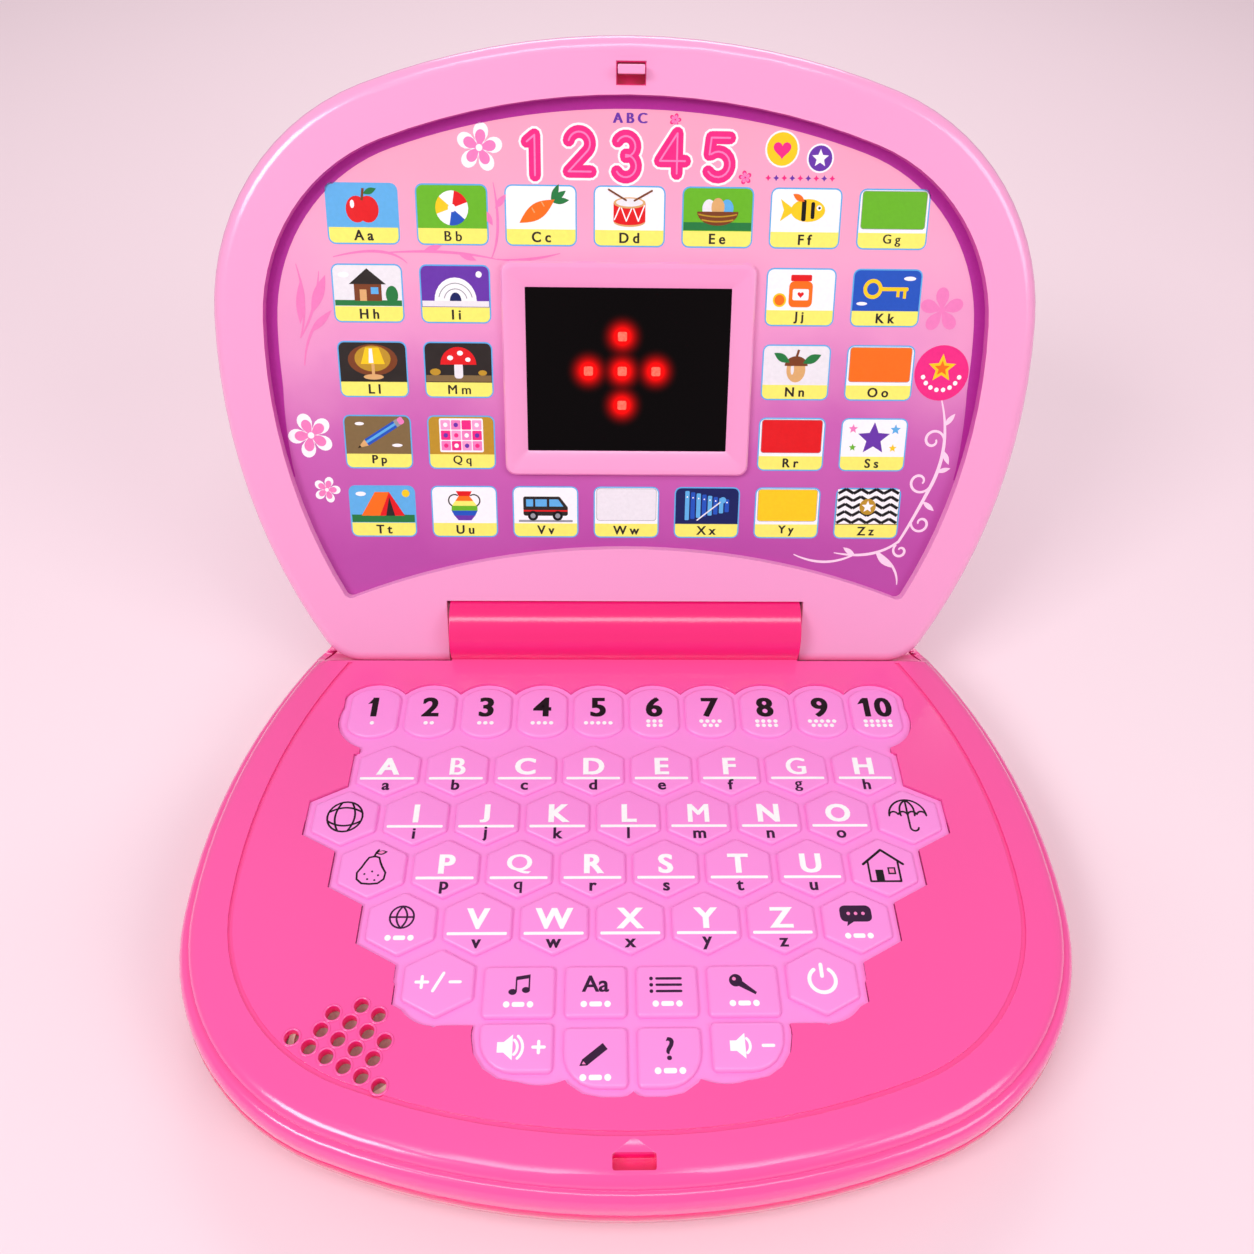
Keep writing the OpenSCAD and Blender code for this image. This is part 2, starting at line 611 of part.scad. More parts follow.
// Lid parts, drawn closed about the hinge axis and then opened by in_lid().
module notch(g) {
    tube_x(well_r + g, -notch_half - g, notch_half + g);
    translate([-notch_half - g, 0, -lid_t]) cube([2 * (notch_half + g), barrel_r + 5, 3 * lid_t]);
}
module ear_limit(r) {
    translate([-body_w, -2 * front_reach, -lid_t]) cube([2 * body_w, 2 * front_reach, 3 * lid_t]);
    tube_x(r, -body_w / 2, body_w / 2);
}
module lid_shell(outer, inner) difference() {
    intersection() {
        shell_body(outer);
        ear_limit(barrel_r);
    }
    notch(0);
    difference() {
        intersection() {
            shell_body(inner);
            ear_limit(barrel_r - wall);
        }
        notch(wall);
    }
}
window_corner = 2.2;
module window_shape(g) offset(r = window_corner + g) offset(delta = -window_corner - g) difference() {
    polygon(outline(window_inset - g));
    translate([0, window_foot_r - window_foot]) circle(window_foot_r - g, $fn = 240);
}
pin_boss_r = min(pin_r + 2.4, -rim_z - 0.2);
pin_boss_x = barrel_len / 2 - pin_seat + pin_len + 0.5;
pocket_len = 6;
module lid_front_frame() color("pink") in_lid() difference() {
    union() {
        lid_shell(frame_levels, frame_cavity_levels);
        slab(rim_z + wall - eps, panel_z) difference() {
            window_shape(wall);
            window_shape(0);
        }
        both_sides() tube_x(pin_boss_r, notch_half, pin_boss_x);
        at_each(lid_screw_at) slab(rim_z + wall - eps, lid_part) circle(boss_r);
    }
    slab(rim_z - 1, panel_z + eps) window_shape(0);
    both_sides() tube_x(pin_r + pin_clear, notch_half - 1, pin_boss_x + 1);
    at_each(lid_screw_at) slab(rim_z + wall, lid_part + 1) circle(screw_r);
    translate([0, -hook_at + 0.9, 0]) slab(rim_z - 1, rim_z + wall + 1)
        square([hook_w + 0.8, pocket_len], center = true);
}
module lid_back_cover() color("pink") in_lid() difference() {
    union() {
        lid_shell(back_levels, back_cavity_levels);
        at_each(lid_screw_at) slab(lid_part, back_z - wall + eps) circle(boss_r);
        for (x = [-1, 1], t = [-1, 1])
            translate([x * (display_w / 2 - 4), t * (display_h / 2 - 4) - screen_at, 0])
                slab(display_z + board_t, back_z - wall + eps) circle(2.5);
        translate([0, -hook_at, 0]) slab(hook_root, back_z - wall + eps) square([hook_w, 4], center = true);
    }
    both_sides() tube_x(pin_boss_r + 0.2, notch_half - wall, pin_boss_x + 0.3);
    at_each(lid_screw_at) {
        slab(lid_part - 1, back_z + 1) circle(screw_r);
        slab(back_z - 3.6, back_z + 1) circle(head_r + 0.3);
    }
}
hook_root = rim_z + wall + 3.5;
module latch_hook() color("pink") in_lid() translate([0, -hook_at, 0]) {
    slab(rim_z - hook_reach, hook_root) square([hook_w, hook_t], center = true);
    translate([0, hook_t / 2 + 0.3 - eps, 0]) slab(rim_z - hook_reach, rim_z - hook_reach + 1)
        square([hook_w, 0.6], center = true);
}
module picture_panel() color("orchid") in_lid() slab(panel_z, panel_back) difference() {
    window_shape(wall - 0.3);
    translate([0, -screen_at]) square([screen_w + 3.4, screen_h + 3.4], center = true);
}
module screen_bezel() color("pink") in_lid() translate([0, -screen_at, 0]) difference() {
    union() {
        slab(panel_z - 1.2, panel_z) round_key(bezel_w, bezel_h, [3, 3, 3, 3], 0);
        slab(panel_z - bezel_rise, panel_z - 1.2) round_key(bezel_w, bezel_h, [3, 3, 3, 3], -1);
    }
    slab(panel_z - bezel_rise - 1, panel_z + 1) square([screen_w, screen_h], center = true);
}
module screen_window() color("black") in_lid() translate([0, -screen_at, 0])
    slab(panel_z, screen_back) square([screen_w + 2.8, screen_h + 2.8], center = true);
display_w = 84;
display_h = 68;
module display_board() color("darkgreen") in_lid() translate([0, -screen_at, 0])
    slab(display_z, display_z + board_t) square([display_w, display_h], center = true);
module display_leds() color("red") in_lid()
    for (p = [[0, 0], [1, 0], [-1, 0], [0, 1], [0, -1]])
        translate([light_shift + p[0] * light_pitch, p[1] * light_pitch - screen_at, 0])
            slab(display_z - light_t, display_z) square([light_w, light_w], center = true);
module lid_screws() color("silver") in_lid() at_each(lid_screw_at)
    mirror([0, 0, 1]) screw(-back_z + 3.6 - head_t, head_t, -rim_z - wall - 1);

base_top_cover();
base_bottom_cover();
keypad_mat();
key_circuit_board();
speaker();
batteries();
battery_contacts();
battery_door();
battery_door_screw();
base_screws();
rubber_feet();
hinge_pins();
lid_front_frame();
lid_back_cover();
picture_panel();
screen_bezel();
screen_window();
display_board();
display_leds();
lid_screws();
latch_hook();
for (k = moving_keys)
    key(k);
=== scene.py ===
"""Looks of a toy laptop computer: glossy moulded shells, a soft keypad, printed legends and a picture lid."""

import json
import math

import bmesh
import bpy
from mathutils import Matrix, Vector

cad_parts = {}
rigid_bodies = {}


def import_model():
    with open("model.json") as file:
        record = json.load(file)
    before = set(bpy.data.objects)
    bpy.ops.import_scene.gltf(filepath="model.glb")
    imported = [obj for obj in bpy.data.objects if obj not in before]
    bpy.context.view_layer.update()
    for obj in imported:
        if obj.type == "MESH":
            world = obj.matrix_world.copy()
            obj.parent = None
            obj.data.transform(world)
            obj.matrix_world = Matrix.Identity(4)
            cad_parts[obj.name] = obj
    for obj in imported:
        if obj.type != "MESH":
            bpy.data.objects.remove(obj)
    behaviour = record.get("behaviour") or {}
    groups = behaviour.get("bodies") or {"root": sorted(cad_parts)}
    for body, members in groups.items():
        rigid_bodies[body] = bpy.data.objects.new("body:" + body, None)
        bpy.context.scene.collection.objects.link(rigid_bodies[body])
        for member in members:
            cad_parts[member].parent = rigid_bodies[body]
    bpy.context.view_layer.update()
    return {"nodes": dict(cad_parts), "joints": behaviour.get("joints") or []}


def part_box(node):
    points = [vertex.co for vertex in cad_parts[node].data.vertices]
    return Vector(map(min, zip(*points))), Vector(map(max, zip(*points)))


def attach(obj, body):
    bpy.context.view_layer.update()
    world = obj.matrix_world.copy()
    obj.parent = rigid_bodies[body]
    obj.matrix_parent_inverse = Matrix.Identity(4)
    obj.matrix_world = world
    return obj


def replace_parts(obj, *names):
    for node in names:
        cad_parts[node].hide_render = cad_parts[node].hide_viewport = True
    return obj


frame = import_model()

MM = 0.001

# Places in the toy. Flat art is drawn in millimetres: u to the right, v away from the user, w off the face.
hinge = next(joint for joint in frame["joints"] if joint["name"] == "display_lid_hinge")
HINGE_Y = hinge["pos_m"][1]
AXIS_Z = hinge["pos_m"][2]
LID_OPEN = math.radians(hinge["range_deg"][1])
BASE_ART = Matrix.Translation((0, HINGE_Y, 0))
LID_ART = Matrix.Translation((0, HINGE_Y, AXIS_Z)) @ Matrix.Rotation(math.pi - LID_OPEN, 4, "X")

# Heights in the base: the deck, the top and the foot of a key cap, and the sheet between the keys.
DECK_Z = 28.0
KEY_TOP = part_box("key_a")[1].z / MM
KEY_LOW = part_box("key_a")[0].z / MM
MAT_Z = KEY_TOP - 1.2

# Heights off the lid's plane: the printed panel and the face of the rim around it.
PANEL_W = 1.1
RIM_W = 4.6

# Places along the lid and the base, from the hinge: the middle of the screen, the widest place, the far edge.
SCREEN_AT = 83
WIDEST_AT = 86
FRONT_REACH = 173.3
BODY_WIDTH = 245

# Printed films: how thick one is, how far a film stands above one of its own ink as a share of that, and the
# height of the plain face's capitals as a share of its size.
FILM = 0.02
HAIR = 0.25
CAPITAL_SHARE = 0.682


# ---------------------------------------------------------------- materials

def linear(red, green, blue):
    """A colour written in screen values from 0 to 255, as Blender's linear values."""
    def channel(value):
        value = value / 255
        return value / 12.92 if value <= 0.04045 else ((value + 0.055) / 1.055) ** 2.4
    return (channel(red), channel(green), channel(blue), 1)


def add_node(tree, kind, **values):
    node = tree.nodes.new(kind)
    for name, value in values.items():
        setattr(node, name, value)
    return node


def start_material(name):
    material = bpy.data.materials.new(name)
    material.use_nodes = True
    tree = material.node_tree
    surface = tree.nodes["Principled BSDF"]
    place = add_node(tree, "ShaderNodeTexCoord")
    return material, tree, surface, place.outputs["Object"]


def noise(tree, place, scale, detail):
    node = add_node(tree, "ShaderNodeTexNoise")
    node.inputs["Scale"].default_value = scale
    node.inputs["Detail"].default_value = detail
    tree.links.new(place, node.inputs["Vector"])
    return node.outputs["Fac"]


def spread(tree, factor, given, wanted):
    """Stretches values of the given range so that they run over the wanted one."""
    node = add_node(tree, "ShaderNodeMapRange")
    for socket, value in zip(("From Min", "From Max", "To Min", "To Max"), (*given, *wanted)):
        node.inputs[socket].default_value = value
    tree.links.new(factor, node.inputs["Value"])
    return node.outputs["Result"]


def uneven(tree, place, scale, detail, wanted=(0, 1)):
    """Noise whose middle values run over the wanted range."""
    return spread(tree, noise(tree, place, scale, detail), (0.3, 0.7), wanted)


def blend_colours(tree, factor, first, second):
    node = add_node(tree, "ShaderNodeMix", data_type="RGBA")
    tree.links.new(factor, node.inputs["Factor"])
    for socket, value in ((node.inputs[6], first), (node.inputs[7], second)):
        if isinstance(value, tuple):
            socket.default_value = value
        else:
            tree.links.new(value, socket)
    return node.outputs[2]


def add_relief(tree, surface, heights, strength, depth):
    bump = add_node(tree, "ShaderNodeBump")
    bump.inputs["Strength"].default_value = strength
    bump.inputs["Distance"].default_value = depth
    tree.links.new(heights, bump.inputs["Height"])
    tree.links.new(bump.outputs["Normal"], surface.inputs["Normal"])


GRAIN_DEPTH = 0.00003


def add_haze(tree, surface, place, shiny, dull):
    """A roughness that drifts slowly between two values."""
    haze = spread(tree, noise(tree, place, 22, 1), (0.2, 0.8), (shiny, dull))
    tree.links.new(haze, surface.inputs["Roughness"])


def moulded(name, colour, deeper, gloss, grain=0.1, coat=0.7):
    """Moulded plastic: a slow drift of colour, a gloss that is a little uneven, and a faint grain."""
    material, tree, surface, place = start_material(name)
    drift = uneven(tree, place, 7, 1)
    tree.links.new(blend_colours(tree, drift, linear(*colour), linear(*deeper)), surface.inputs["Base Color"])
    add_haze(tree, surface, place, gloss * 0.92, gloss * 1.1)
    add_relief(tree, surface, noise(tree, place, 1100, 2), grain, GRAIN_DEPTH)
    surface.inputs["Coat Weight"].default_value = coat
    surface.inputs["Coat Roughness"].default_value = 0.16
    return material


def ink(name, *colour):
    """Printed ink: a film whose colour is faintly mottled and whose gloss is a little uneven."""
    material, tree, surface, place = start_material("ink_" + name)
    red, green, blue, alpha = linear(*colour)
    thinner = (min(red * 1.06, 1), min(green * 1.06, 1), min(blue * 1.06, 1), alpha)
    mottle = uneven(tree, place, 900, 3)
    tree.links.new(blend_colours(tree, mottle, linear(*colour), thinner), surface.inputs["Base Color"])
    tree.links.new(uneven(tree, place, 300, 3, (0.32, 0.46)), surface.inputs["Roughness"])
    surface.inputs["Specular IOR Level"].default_value = 0.3
    return material


def lid_places(tree, place):
    """Millimetres in the lid's own plane, from the object's coordinates."""
    mapping = add_node(tree, "ShaderNodeMapping", vector_type="POINT")
    back = LID_ART.inverted()
    mapping.inputs["Rotation"].default_value = back.to_euler()
    mapping.inputs["Location"].default_value = back.translation / MM
    mapping.inputs["Scale"].default_value = (1 / MM, 1 / MM, 1 / MM)
    tree.links.new(place, mapping.inputs["Vector"])
    return mapping.outputs["Vector"]


def opening_wall(name):
    """The wall of the panel's opening: a pale pink at the foot, a painted highlight, running to a deeper
    mauve towards the top.
    """
    material, tree, surface, place = start_material(name)
    parts = add_node(tree, "ShaderNodeSeparateXYZ")
    tree.links.new(lid_places(tree, place), parts.inputs["Vector"])
    rise = spread(tree, parts.outputs["Y"], (38, 72), (0, 1))
    # Painted highlight: the foot of the wall is paler than the lid's own pink.
    foot_highlight_colour = linear(255, 176, 224)
    top_colour = linear(226, 112, 192)
    tree.links.new(blend_colours(tree, rise, foot_highlight_colour, top_colour), surface.inputs["Base Color"])
    add_haze(tree, surface, place, 0.2, 0.26)
    return material


def picture_print(name):
    """The lid's printed panel: pale pink at the top, purple at the foot, with soft clouds of colour."""
    material, tree, surface, place = start_material(name)
    flat = lid_places(tree, place)
    parts = add_node(tree, "ShaderNodeSeparateXYZ")
    tree.links.new(flat, parts.inputs["Vector"])
    cloud = noise(tree, flat, 0.018, 4)
    cloud_reach = 55
    wander = add_node(tree, "ShaderNodeMath", operation="MULTIPLY_ADD")
    tree.links.new(cloud, wander.inputs[0])
    wander.inputs[1].default_value = cloud_reach
    tree.links.new(parts.outputs["Y"], wander.inputs[2])
    ramp = add_node(tree, "ShaderNodeValToRGB")
    tree.links.new(spread(tree, wander.outputs["Value"], (55, 175), (0, 1)), ramp.inputs["Fac"])
    stops = ramp.color_ramp.elements
    stops[0].position = 0
    stops[0].color = linear(188, 74, 168)
    stops[1].position = 1
    stops[1].color = linear(252, 168, 196)
    for position, colour in ((0.28, (205, 98, 182)), (0.52, (238, 152, 204)), (0.75, (249, 170, 206))):
        stop = stops.new(position)
        stop.color = linear(*colour)
    tree.links.new(ramp.outputs["Color"], surface.inputs["Base Color"])
    tree.links.new(uneven(tree, place, 80, 3, (0.3, 0.42)), surface.inputs["Roughness"])
    add_relief(tree, surface, noise(tree, place, 1500, 2), 0.08, GRAIN_DEPTH)
    return material


LIGHT_PITCH = 10.2
LIGHT_SHIFT = -1.7
LIGHT_PLACES = [(LIGHT_SHIFT + u * LIGHT_PITCH, SCREEN_AT + v * LIGHT_PITCH)
                for u, v in ((0, 0), (1, 0), (-1, 0), (0, 1), (0, -1))]


def smoked_window(name):
    """Smoked window with five lit squares behind it; the red glow around each is painted on the window's face
    as emission.
    """
    glow_reach = 7.8
    glow_fall = 3.9
    material, tree, surface, place = start_material(name)
    smoke = blend_colours(tree, uneven(tree, place, 14, 1), linear(7, 4, 5), linear(10, 6, 7))
    tree.links.new(smoke, surface.inputs["Base Color"])
    tree.links.new(uneven(tree, place, 90, 2, (0.08, 0.12)), surface.inputs["Roughness"])
    surface.inputs["Specular IOR Level"].default_value = 0.1
    flat = lid_places(tree, place)
    # Painted glow: emission on the window around each light, fading with distance from it.
    glow = None
    for u, v in LIGHT_PLACES:
        away = add_node(tree, "ShaderNodeVectorMath", operation="DISTANCE")
        tree.links.new(flat, away.inputs[0])
        away.inputs[1].default_value = (u, v, PANEL_W)
        closeness = spread(tree, away.outputs["Value"], (0, glow_reach), (1, 0))
        fade = add_node(tree, "ShaderNodeMath", operation="POWER")
        tree.links.new(closeness, fade.inputs[0])
        fade.inputs[1].default_value = glow_fall
        if glow is None:
            glow = fade.outputs["Value"]
        else:
            total = add_node(tree, "ShaderNodeMath", operation="ADD")
            tree.links.new(glow, total.inputs[0])
            tree.links.new(fade.outputs["Value"], total.inputs[1])
            glow = total.outputs["Value"]
    colour = blend_colours(tree, glow, (0, 0, 0, 1), (1, 0.002, 0.002, 1))
    tree.links.new(colour, surface.inputs["Emission Color"])
    surface.inputs["Emission Strength"].default_value = 4.6
    return material


def lit(name, colour, brighter, strength):
    """The lit square of one light, with specks of a brighter colour."""
    material, tree, surface, place = start_material(name)
    sparkle = spread(tree, noise(tree, place, 1500, 2), (0.35, 0.65), (0, 1))
    light = blend_colours(tree, sparkle, linear(*colour), linear(*brighter))
    tree.links.new(light, surface.inputs["Emission Color"])
    surface.inputs["Base Color"].default_value = linear(*colour)
    surface.inputs["Emission Strength"].default_value = strength
    return material


def plain(name, colour, roughness, metallic=0.0, grain_scale=400.0):
    """Small hidden or dark parts: rubber, steel and boards, with a fine grain."""
    material, tree, surface, place = start_material(name)
    wear = uneven(tree, place, grain_scale, 4)
    darker = tuple(value * 0.8 for value in linear(*colour)[:3]) + (1,)
    tree.links.new(blend_colours(tree, wear, linear(*colour), darker), surface.inputs["Base Color"])
    dullness = spread(tree, wear, (0, 1), (roughness * 0.85, roughness * 1.15))
    tree.links.new(dullness, surface.inputs["Roughness"])
    surface.inputs["Metallic"].default_value = metallic
    add_relief(tree, surface, wear, 0.2, 0.00005)
    return material


DECK = moulded("deck_pink", (254, 88, 168), (252, 82, 162), 0.2)
SHELL = moulded("shell_pink", (247, 34, 124), (244, 28, 118), 0.2)
# Deeper pink: the barrel's colour, and also painted shade inside the latch slots and down the sound holes.
DEEP_PINK_AND_SHADE = moulded("deep_pink_and_painted_shade", (252, 28, 124), (248, 24, 118), 0.22)
LID = moulded("lid_pink", (252, 166, 214), (251, 161, 211), 0.24)
MAT = moulded("keypad_pink", (252, 148, 225), (251, 144, 222), 0.36, grain=0.16, coat=0.1)
KEY = moulded("key_pink", (253, 149, 226), (252, 145, 223), 0.34, grain=0.16, coat=0.1)
OPENING = opening_wall("opening_pink")
PANEL = picture_print("panel_print")
WINDOW = smoked_window("smoked_window")
LIGHT = lit("light_red", (255, 70, 52), (255, 104, 84), 1.1)
RUBBER = plain("foot_rubber", (70, 66, 68), 0.8)
STEEL = plain("plated_steel", (196, 196, 200), 0.3, 1.0)
BOARD = plain("circuit_board", (24, 92, 48), 0.5)
CELL = plain("battery_sleeve", (40, 110, 96), 0.35)
PAPER = plain("speaker_paper", (214, 196, 178), 0.85)
CLOTH = plain("speaker_cloth", (176, 150, 140), 0.9, grain_scale=1200)
INKS = {
    name: ink(name, *colour) for name, colour in {
        "white": (252, 250, 252), "black": (12, 6, 12), "plum": (48, 14, 52), "yellow": (250, 241, 112),
        "sun": (253, 206, 28), "sky": (96, 176, 232), "blue": (34, 84, 190), "navy": (20, 30, 92),
        "red": (226, 20, 28), "orange": (250, 112, 22), "green": (104, 184, 36), "leaf": (36, 122, 62),
        "brown": (122, 62, 30), "tan": (222, 172, 112), "violet": (104, 52, 168), "grey": (150, 152, 158),
        "magenta": (176, 40, 152), "rose": (240, 40, 132), "petal": (240, 128, 190), "blush": (250, 160, 208),
        "pale": (236, 234, 238), "olive": (128, 104, 66), "mustard": (190, 146, 40), "coal": (42, 34, 32),
        "frost": (255, 216, 238),
    }.items()
}
INKS["lit"] = LIGHT


# ---------------------------------------------------------------- modelling tools

def only(piece):
    bpy.ops.object.select_all(action="DESELECT")
    piece.select_set(True)
    bpy.context.view_layer.objects.active = piece


def settle(piece, place):
    """Puts a piece drawn in an art plane where it belongs and leaves its object at the origin."""
    piece.matrix_world = place
    only(piece)
    bpy.ops.object.transform_apply(location=True, rotation=True, scale=True)


def finish_piece(piece, body, smooth=35):
    only(piece)
    bpy.ops.object.shade_smooth_by_angle(angle=math.radians(smooth))
    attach(piece, body)


def empty_piece(name, materials):
    mesh = bpy.data.meshes.new(name)
    piece = bpy.data.objects.new(name, mesh)
    bpy.context.collection.objects.link(piece)
    for material in materials:
        mesh.materials.append(material)
    only(piece)
    return piece


def add_plate(piece, outline, low, high, soft=0.0):
    """Adds a closed plate to the piece in edit mode: a face of this outline, raised, its rim rounded."""
    count = len(outline)
    bpy.ops.mesh.primitive_circle_add(vertices=count, radius=MM, fill_type="NGON")
    mesh = bmesh.from_edit_mesh(piece.data)
    mesh.verts.ensure_lookup_table()
    for vertex, (u, v) in zip(mesh.verts[-count:], outline):
        vertex.co = Vector((u, v, low)) * MM
    bmesh.update_edit_mesh(piece.data)
    bpy.ops.mesh.extrude_region_move(TRANSFORM_OT_translate={"value": (0, 0, (high - low) * MM)})
    if soft:
        bpy.ops.mesh.bevel(offset=soft * MM, segments=5, affect="EDGES")
    bpy.ops.mesh.select_linked()
    bpy.ops.mesh.normals_make_consistent(inside=False)


def film_levels(layers):
    """The level of each film: one above any film that it may cover, or a hair above one of its own ink."""
    placed = []
    for colour, outline in layers:
        us, vs = zip(*outline)
        box = (min(us), max(us), min(vs), max(vs))
        under = [level + (HAIR if other_ink == colour else 1) for other_ink, other, level in placed
                 if box[0] < other[1] and other[0] < box[1] and box[2] < other[3] and other[2] < box[3]]
        placed.append((colour, box, max(under, default=1)))
    return [level for ink_name, box, level in placed]


def printed(name, layers, low):
    """One print: thin films, each (ink, outline), in an art plane at this height."""
    names = sorted({layer[0] for layer in layers})
    piece = empty_piece(name, [INKS[each] for each in names])
    bpy.ops.object.mode_set(mode="EDIT")
    for (colour, outline), level in zip(layers, film_levels(layers)):
        add_plate(piece, outline, low, low + FILM * (level + 1))
        piece.active_material_index = names.index(colour)
        bpy.ops.object.material_slot_assign()
    bpy.ops.object.mode_set(mode="OBJECT")
    return piece


# Thickening breaks the outlines of these letters, so their two strikes lie further apart instead.
FRAGILE_LETTERS = set("MBGQgq")


def lettering(text, height, centre, weight, colour, low, films):
    """Printed characters of a plain face, as a mesh in an art plane, struck twice side by side for weight."""
    swell = weight / 2
    if set(text) & FRAGILE_LETTERS:
        swell = 0
        weight = weight * 1.3
    foot = centre[1] - height / 2
    strikes = []
    for shift, thickness in ((-weight / 2, FILM * films), (weight / 2, FILM * (films + HAIR))):
        bpy.ops.object.text_add()
        piece = bpy.context.object
        piece.data.body = text
        piece.data.size = height * MM / CAPITAL_SHARE
        piece.data.offset = swell * MM
        piece.data.extrude = thickness * MM / 2
        piece.data.resolution_u = 4
        piece.data.align_x = "CENTER"
        bpy.ops.object.convert(target="MESH")
        bpy.ops.object.mode_set(mode="EDIT")
        sealed()
        bpy.ops.object.mode_set(mode="OBJECT")
        piece.data.materials.clear()
        piece.data.materials.append(INKS[colour])
        piece.location = Vector((centre[0] + shift, foot, low + thickness / 2)) * MM
        bpy.ops.object.transform_apply(location=True, rotation=True, scale=True)
        strikes.append(piece)
    piece = joined(strikes, "lettering")
    if len(text) == 1 and text.isupper():
        stand_within(piece, foot, centre[1] + height / 2)
    return piece


def stand_within(piece, foot, head):
    """Squeezes a letter with a tail, such as J or Q, between the lines that the others stand between."""
    tops = [vertex.co.y / MM for vertex in piece.data.vertices]
    share = (head - foot) / (max(tops) - min(tops))
    for vertex in piece.data.vertices:
        vertex.co.y = (foot + (vertex.co.y / MM - min(tops)) * share) * MM


def print_on(name, place, body, low, layers=(), words=()):
    """All that is printed in one spot, as one piece; words are (text, height, centre, weight, ink, films)."""
    pieces = [printed(name, layers, low)] if layers else []
    for text, height, centre, weight, colour, films in words:
        pieces.append(lettering(text, height, centre, weight, colour, low, films))
    piece = joined(pieces, name)
    settle(piece, place)
    finish_piece(piece, body)


def joined(pieces, name):
    bpy.ops.object.select_all(action="DESELECT")
    for piece in pieces:
        piece.select_set(True)
    bpy.context.view_layer.objects.active = pieces[0]
    if len(pieces) > 1:
        bpy.ops.object.join()
    pieces[0].name = name
    return pieces[0]


def drawn_ring(piece, loops):
    """Adds a ring's skin: a row of loops of points u, v, w, all as long, each drawn out of the one before it.

    The last loop is drawn on to the place of the first, where sealed() joins them.
    """
    count = len(loops[0])
    bpy.ops.mesh.primitive_circle_add(vertices=count, radius=MM, fill_type="NOTHING")
    mesh = bmesh.from_edit_mesh(piece.data)
    mesh.verts.ensure_lookup_table()
    for vertex, point in zip(mesh.verts[-count:], loops[0]):
        vertex.co = Vector(point) * MM
    bmesh.update_edit_mesh(piece.data)
    for before, after in zip(loops, loops[1:] + loops[:1]):
        bpy.ops.mesh.extrude_region_move()
        mesh = bmesh.from_edit_mesh(piece.data)
        starts = [Vector(point) * MM for point in before]
        for vertex in [vertex for vertex in mesh.verts if vertex.select]:
            nearest = min(range(count), key=lambda i: (starts[i] - vertex.co).length_squared)
            vertex.co = Vector(after[nearest]) * MM
        bmesh.update_edit_mesh(piece.data)


def sealed():
    """Joins the points of the mesh being edited that lie in one place, and turns every face outward."""
    bpy.ops.mesh.select_all(action="SELECT")
    bpy.ops.mesh.remove_doubles(threshold=0.000001)
    bpy.ops.mesh.normals_make_consistent(inside=False)


def refined(node, name, materials):
    """A clean copy of a construction solid: merged, with its flat faces whole, ready for edge work."""
    mesh = frame["nodes"][node].data.copy()
    mesh.materials.clear()
    piece = bpy.data.objects.new(name, mesh)
    bpy.context.collection.objects.link(piece)
    for material in materials:
        mesh.materials.append(material)
    only(piece)
    bpy.ops.object.mode_set(mode="EDIT")
    bpy.ops.mesh.select_all(action="SELECT")
    bpy.ops.mesh.remove_doubles(threshold=0.000003)
    bpy.ops.mesh.dissolve_limited(angle_limit=math.radians(0.4))
    return piece


def soften_edges(piece, wanted, width, steps):
    """Rounds the sharp edges that wanted(first, second) picks; it is given their ends in millimetres."""
    sharp_from = math.radians(40)
    mesh = bmesh.from_edit_mesh(piece.data)
    bpy.ops.mesh.select_mode(type="EDGE")
    bpy.ops.mesh.select_all(action="DESELECT")
    for edge in mesh.edges:
        ends = [vertex.co / MM for vertex in edge.verts]
        sharp = len(edge.link_faces) == 2 and edge.calc_face_angle() > sharp_from
        edge.select_set(sharp and wanted(*ends))
    bmesh.update_edit_mesh(piece.data)
    bpy.ops.mesh.bevel(offset=width * MM, segments=steps, affect="EDGES", clamp_overlap=True)


def even_shading(piece):
    """Lets the larger faces beside a smooth edge decide how it is shaded, so that flat faces look flat."""
    modifier = piece.modifiers.new("even_shading", "WEIGHTED_NORMAL")
    modifier.keep_sharp = True
    modifier.weight = 100
    only(piece)
    bpy.ops.object.modifier_apply(modifier=modifier.name)


def stand_in(piece, node, body):
    """Finishes a refined piece and lets it stand for its construction node."""
    finish_piece(piece, body)
    even_shading(piece)
    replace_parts(piece, node)


# ---------------------------------------------------------------- flat shapes

def arc(centre, radius, start, end, steps):
    """Points along an arc; angles in degrees."""
    angles = [math.radians(start + (end - start) * i / steps) for i in range(steps + 1)]
    return [(centre[0] + radius * math.cos(a), centre[1] + radius * math.sin(a)) for a in angles]


def disc(u, v, radius, tall=None, steps=24):
    tall = radius if tall is None else tall
    return [(u + radius * x, v + tall * y) for x, y in arc((0, 0), 1, 0, 360, steps)[:-1]]


def panel(u, v, width, height, rounding=0.0):
    """A rectangle about its centre, with rounded corners."""
    x, y = width / 2 - rounding, height / 2 - rounding
    if not rounding:
        return [(u - x, v - y), (u + x, v - y), (u + x, v + y), (u - x, v + y)]
    corners = ((x, y, 0), (-x, y, 90), (-x, -y, 180), (x, -y, 270))
    return [p for cx, cy, a in corners for p in arc((u + cx, v + cy), rounding, a, a + 90, 4)]


def rounded(corners, radius, steps=4):
    """A polygon with every corner rounded by the same radius, its points counter-clockwise."""
    points = []
    for i, corner in enumerate(corners):
        corner = Vector(corner)
        before = (Vector(corners[i - 1]) - corner).normalized()
        after = (Vector(corners[(i + 1) % len(corners)]) - corner).normalized()
        half = before.angle(after) / 2
        centre = corner + (before + after).normalized() * radius / math.sin(half)
        first = corner + before * radius / math.tan(half) - centre
        turn = math.degrees(math.pi - 2 * half)
        start = math.degrees(math.atan2(first.y, first.x))
        points += arc(centre, radius, start, start + turn, steps)
    return points


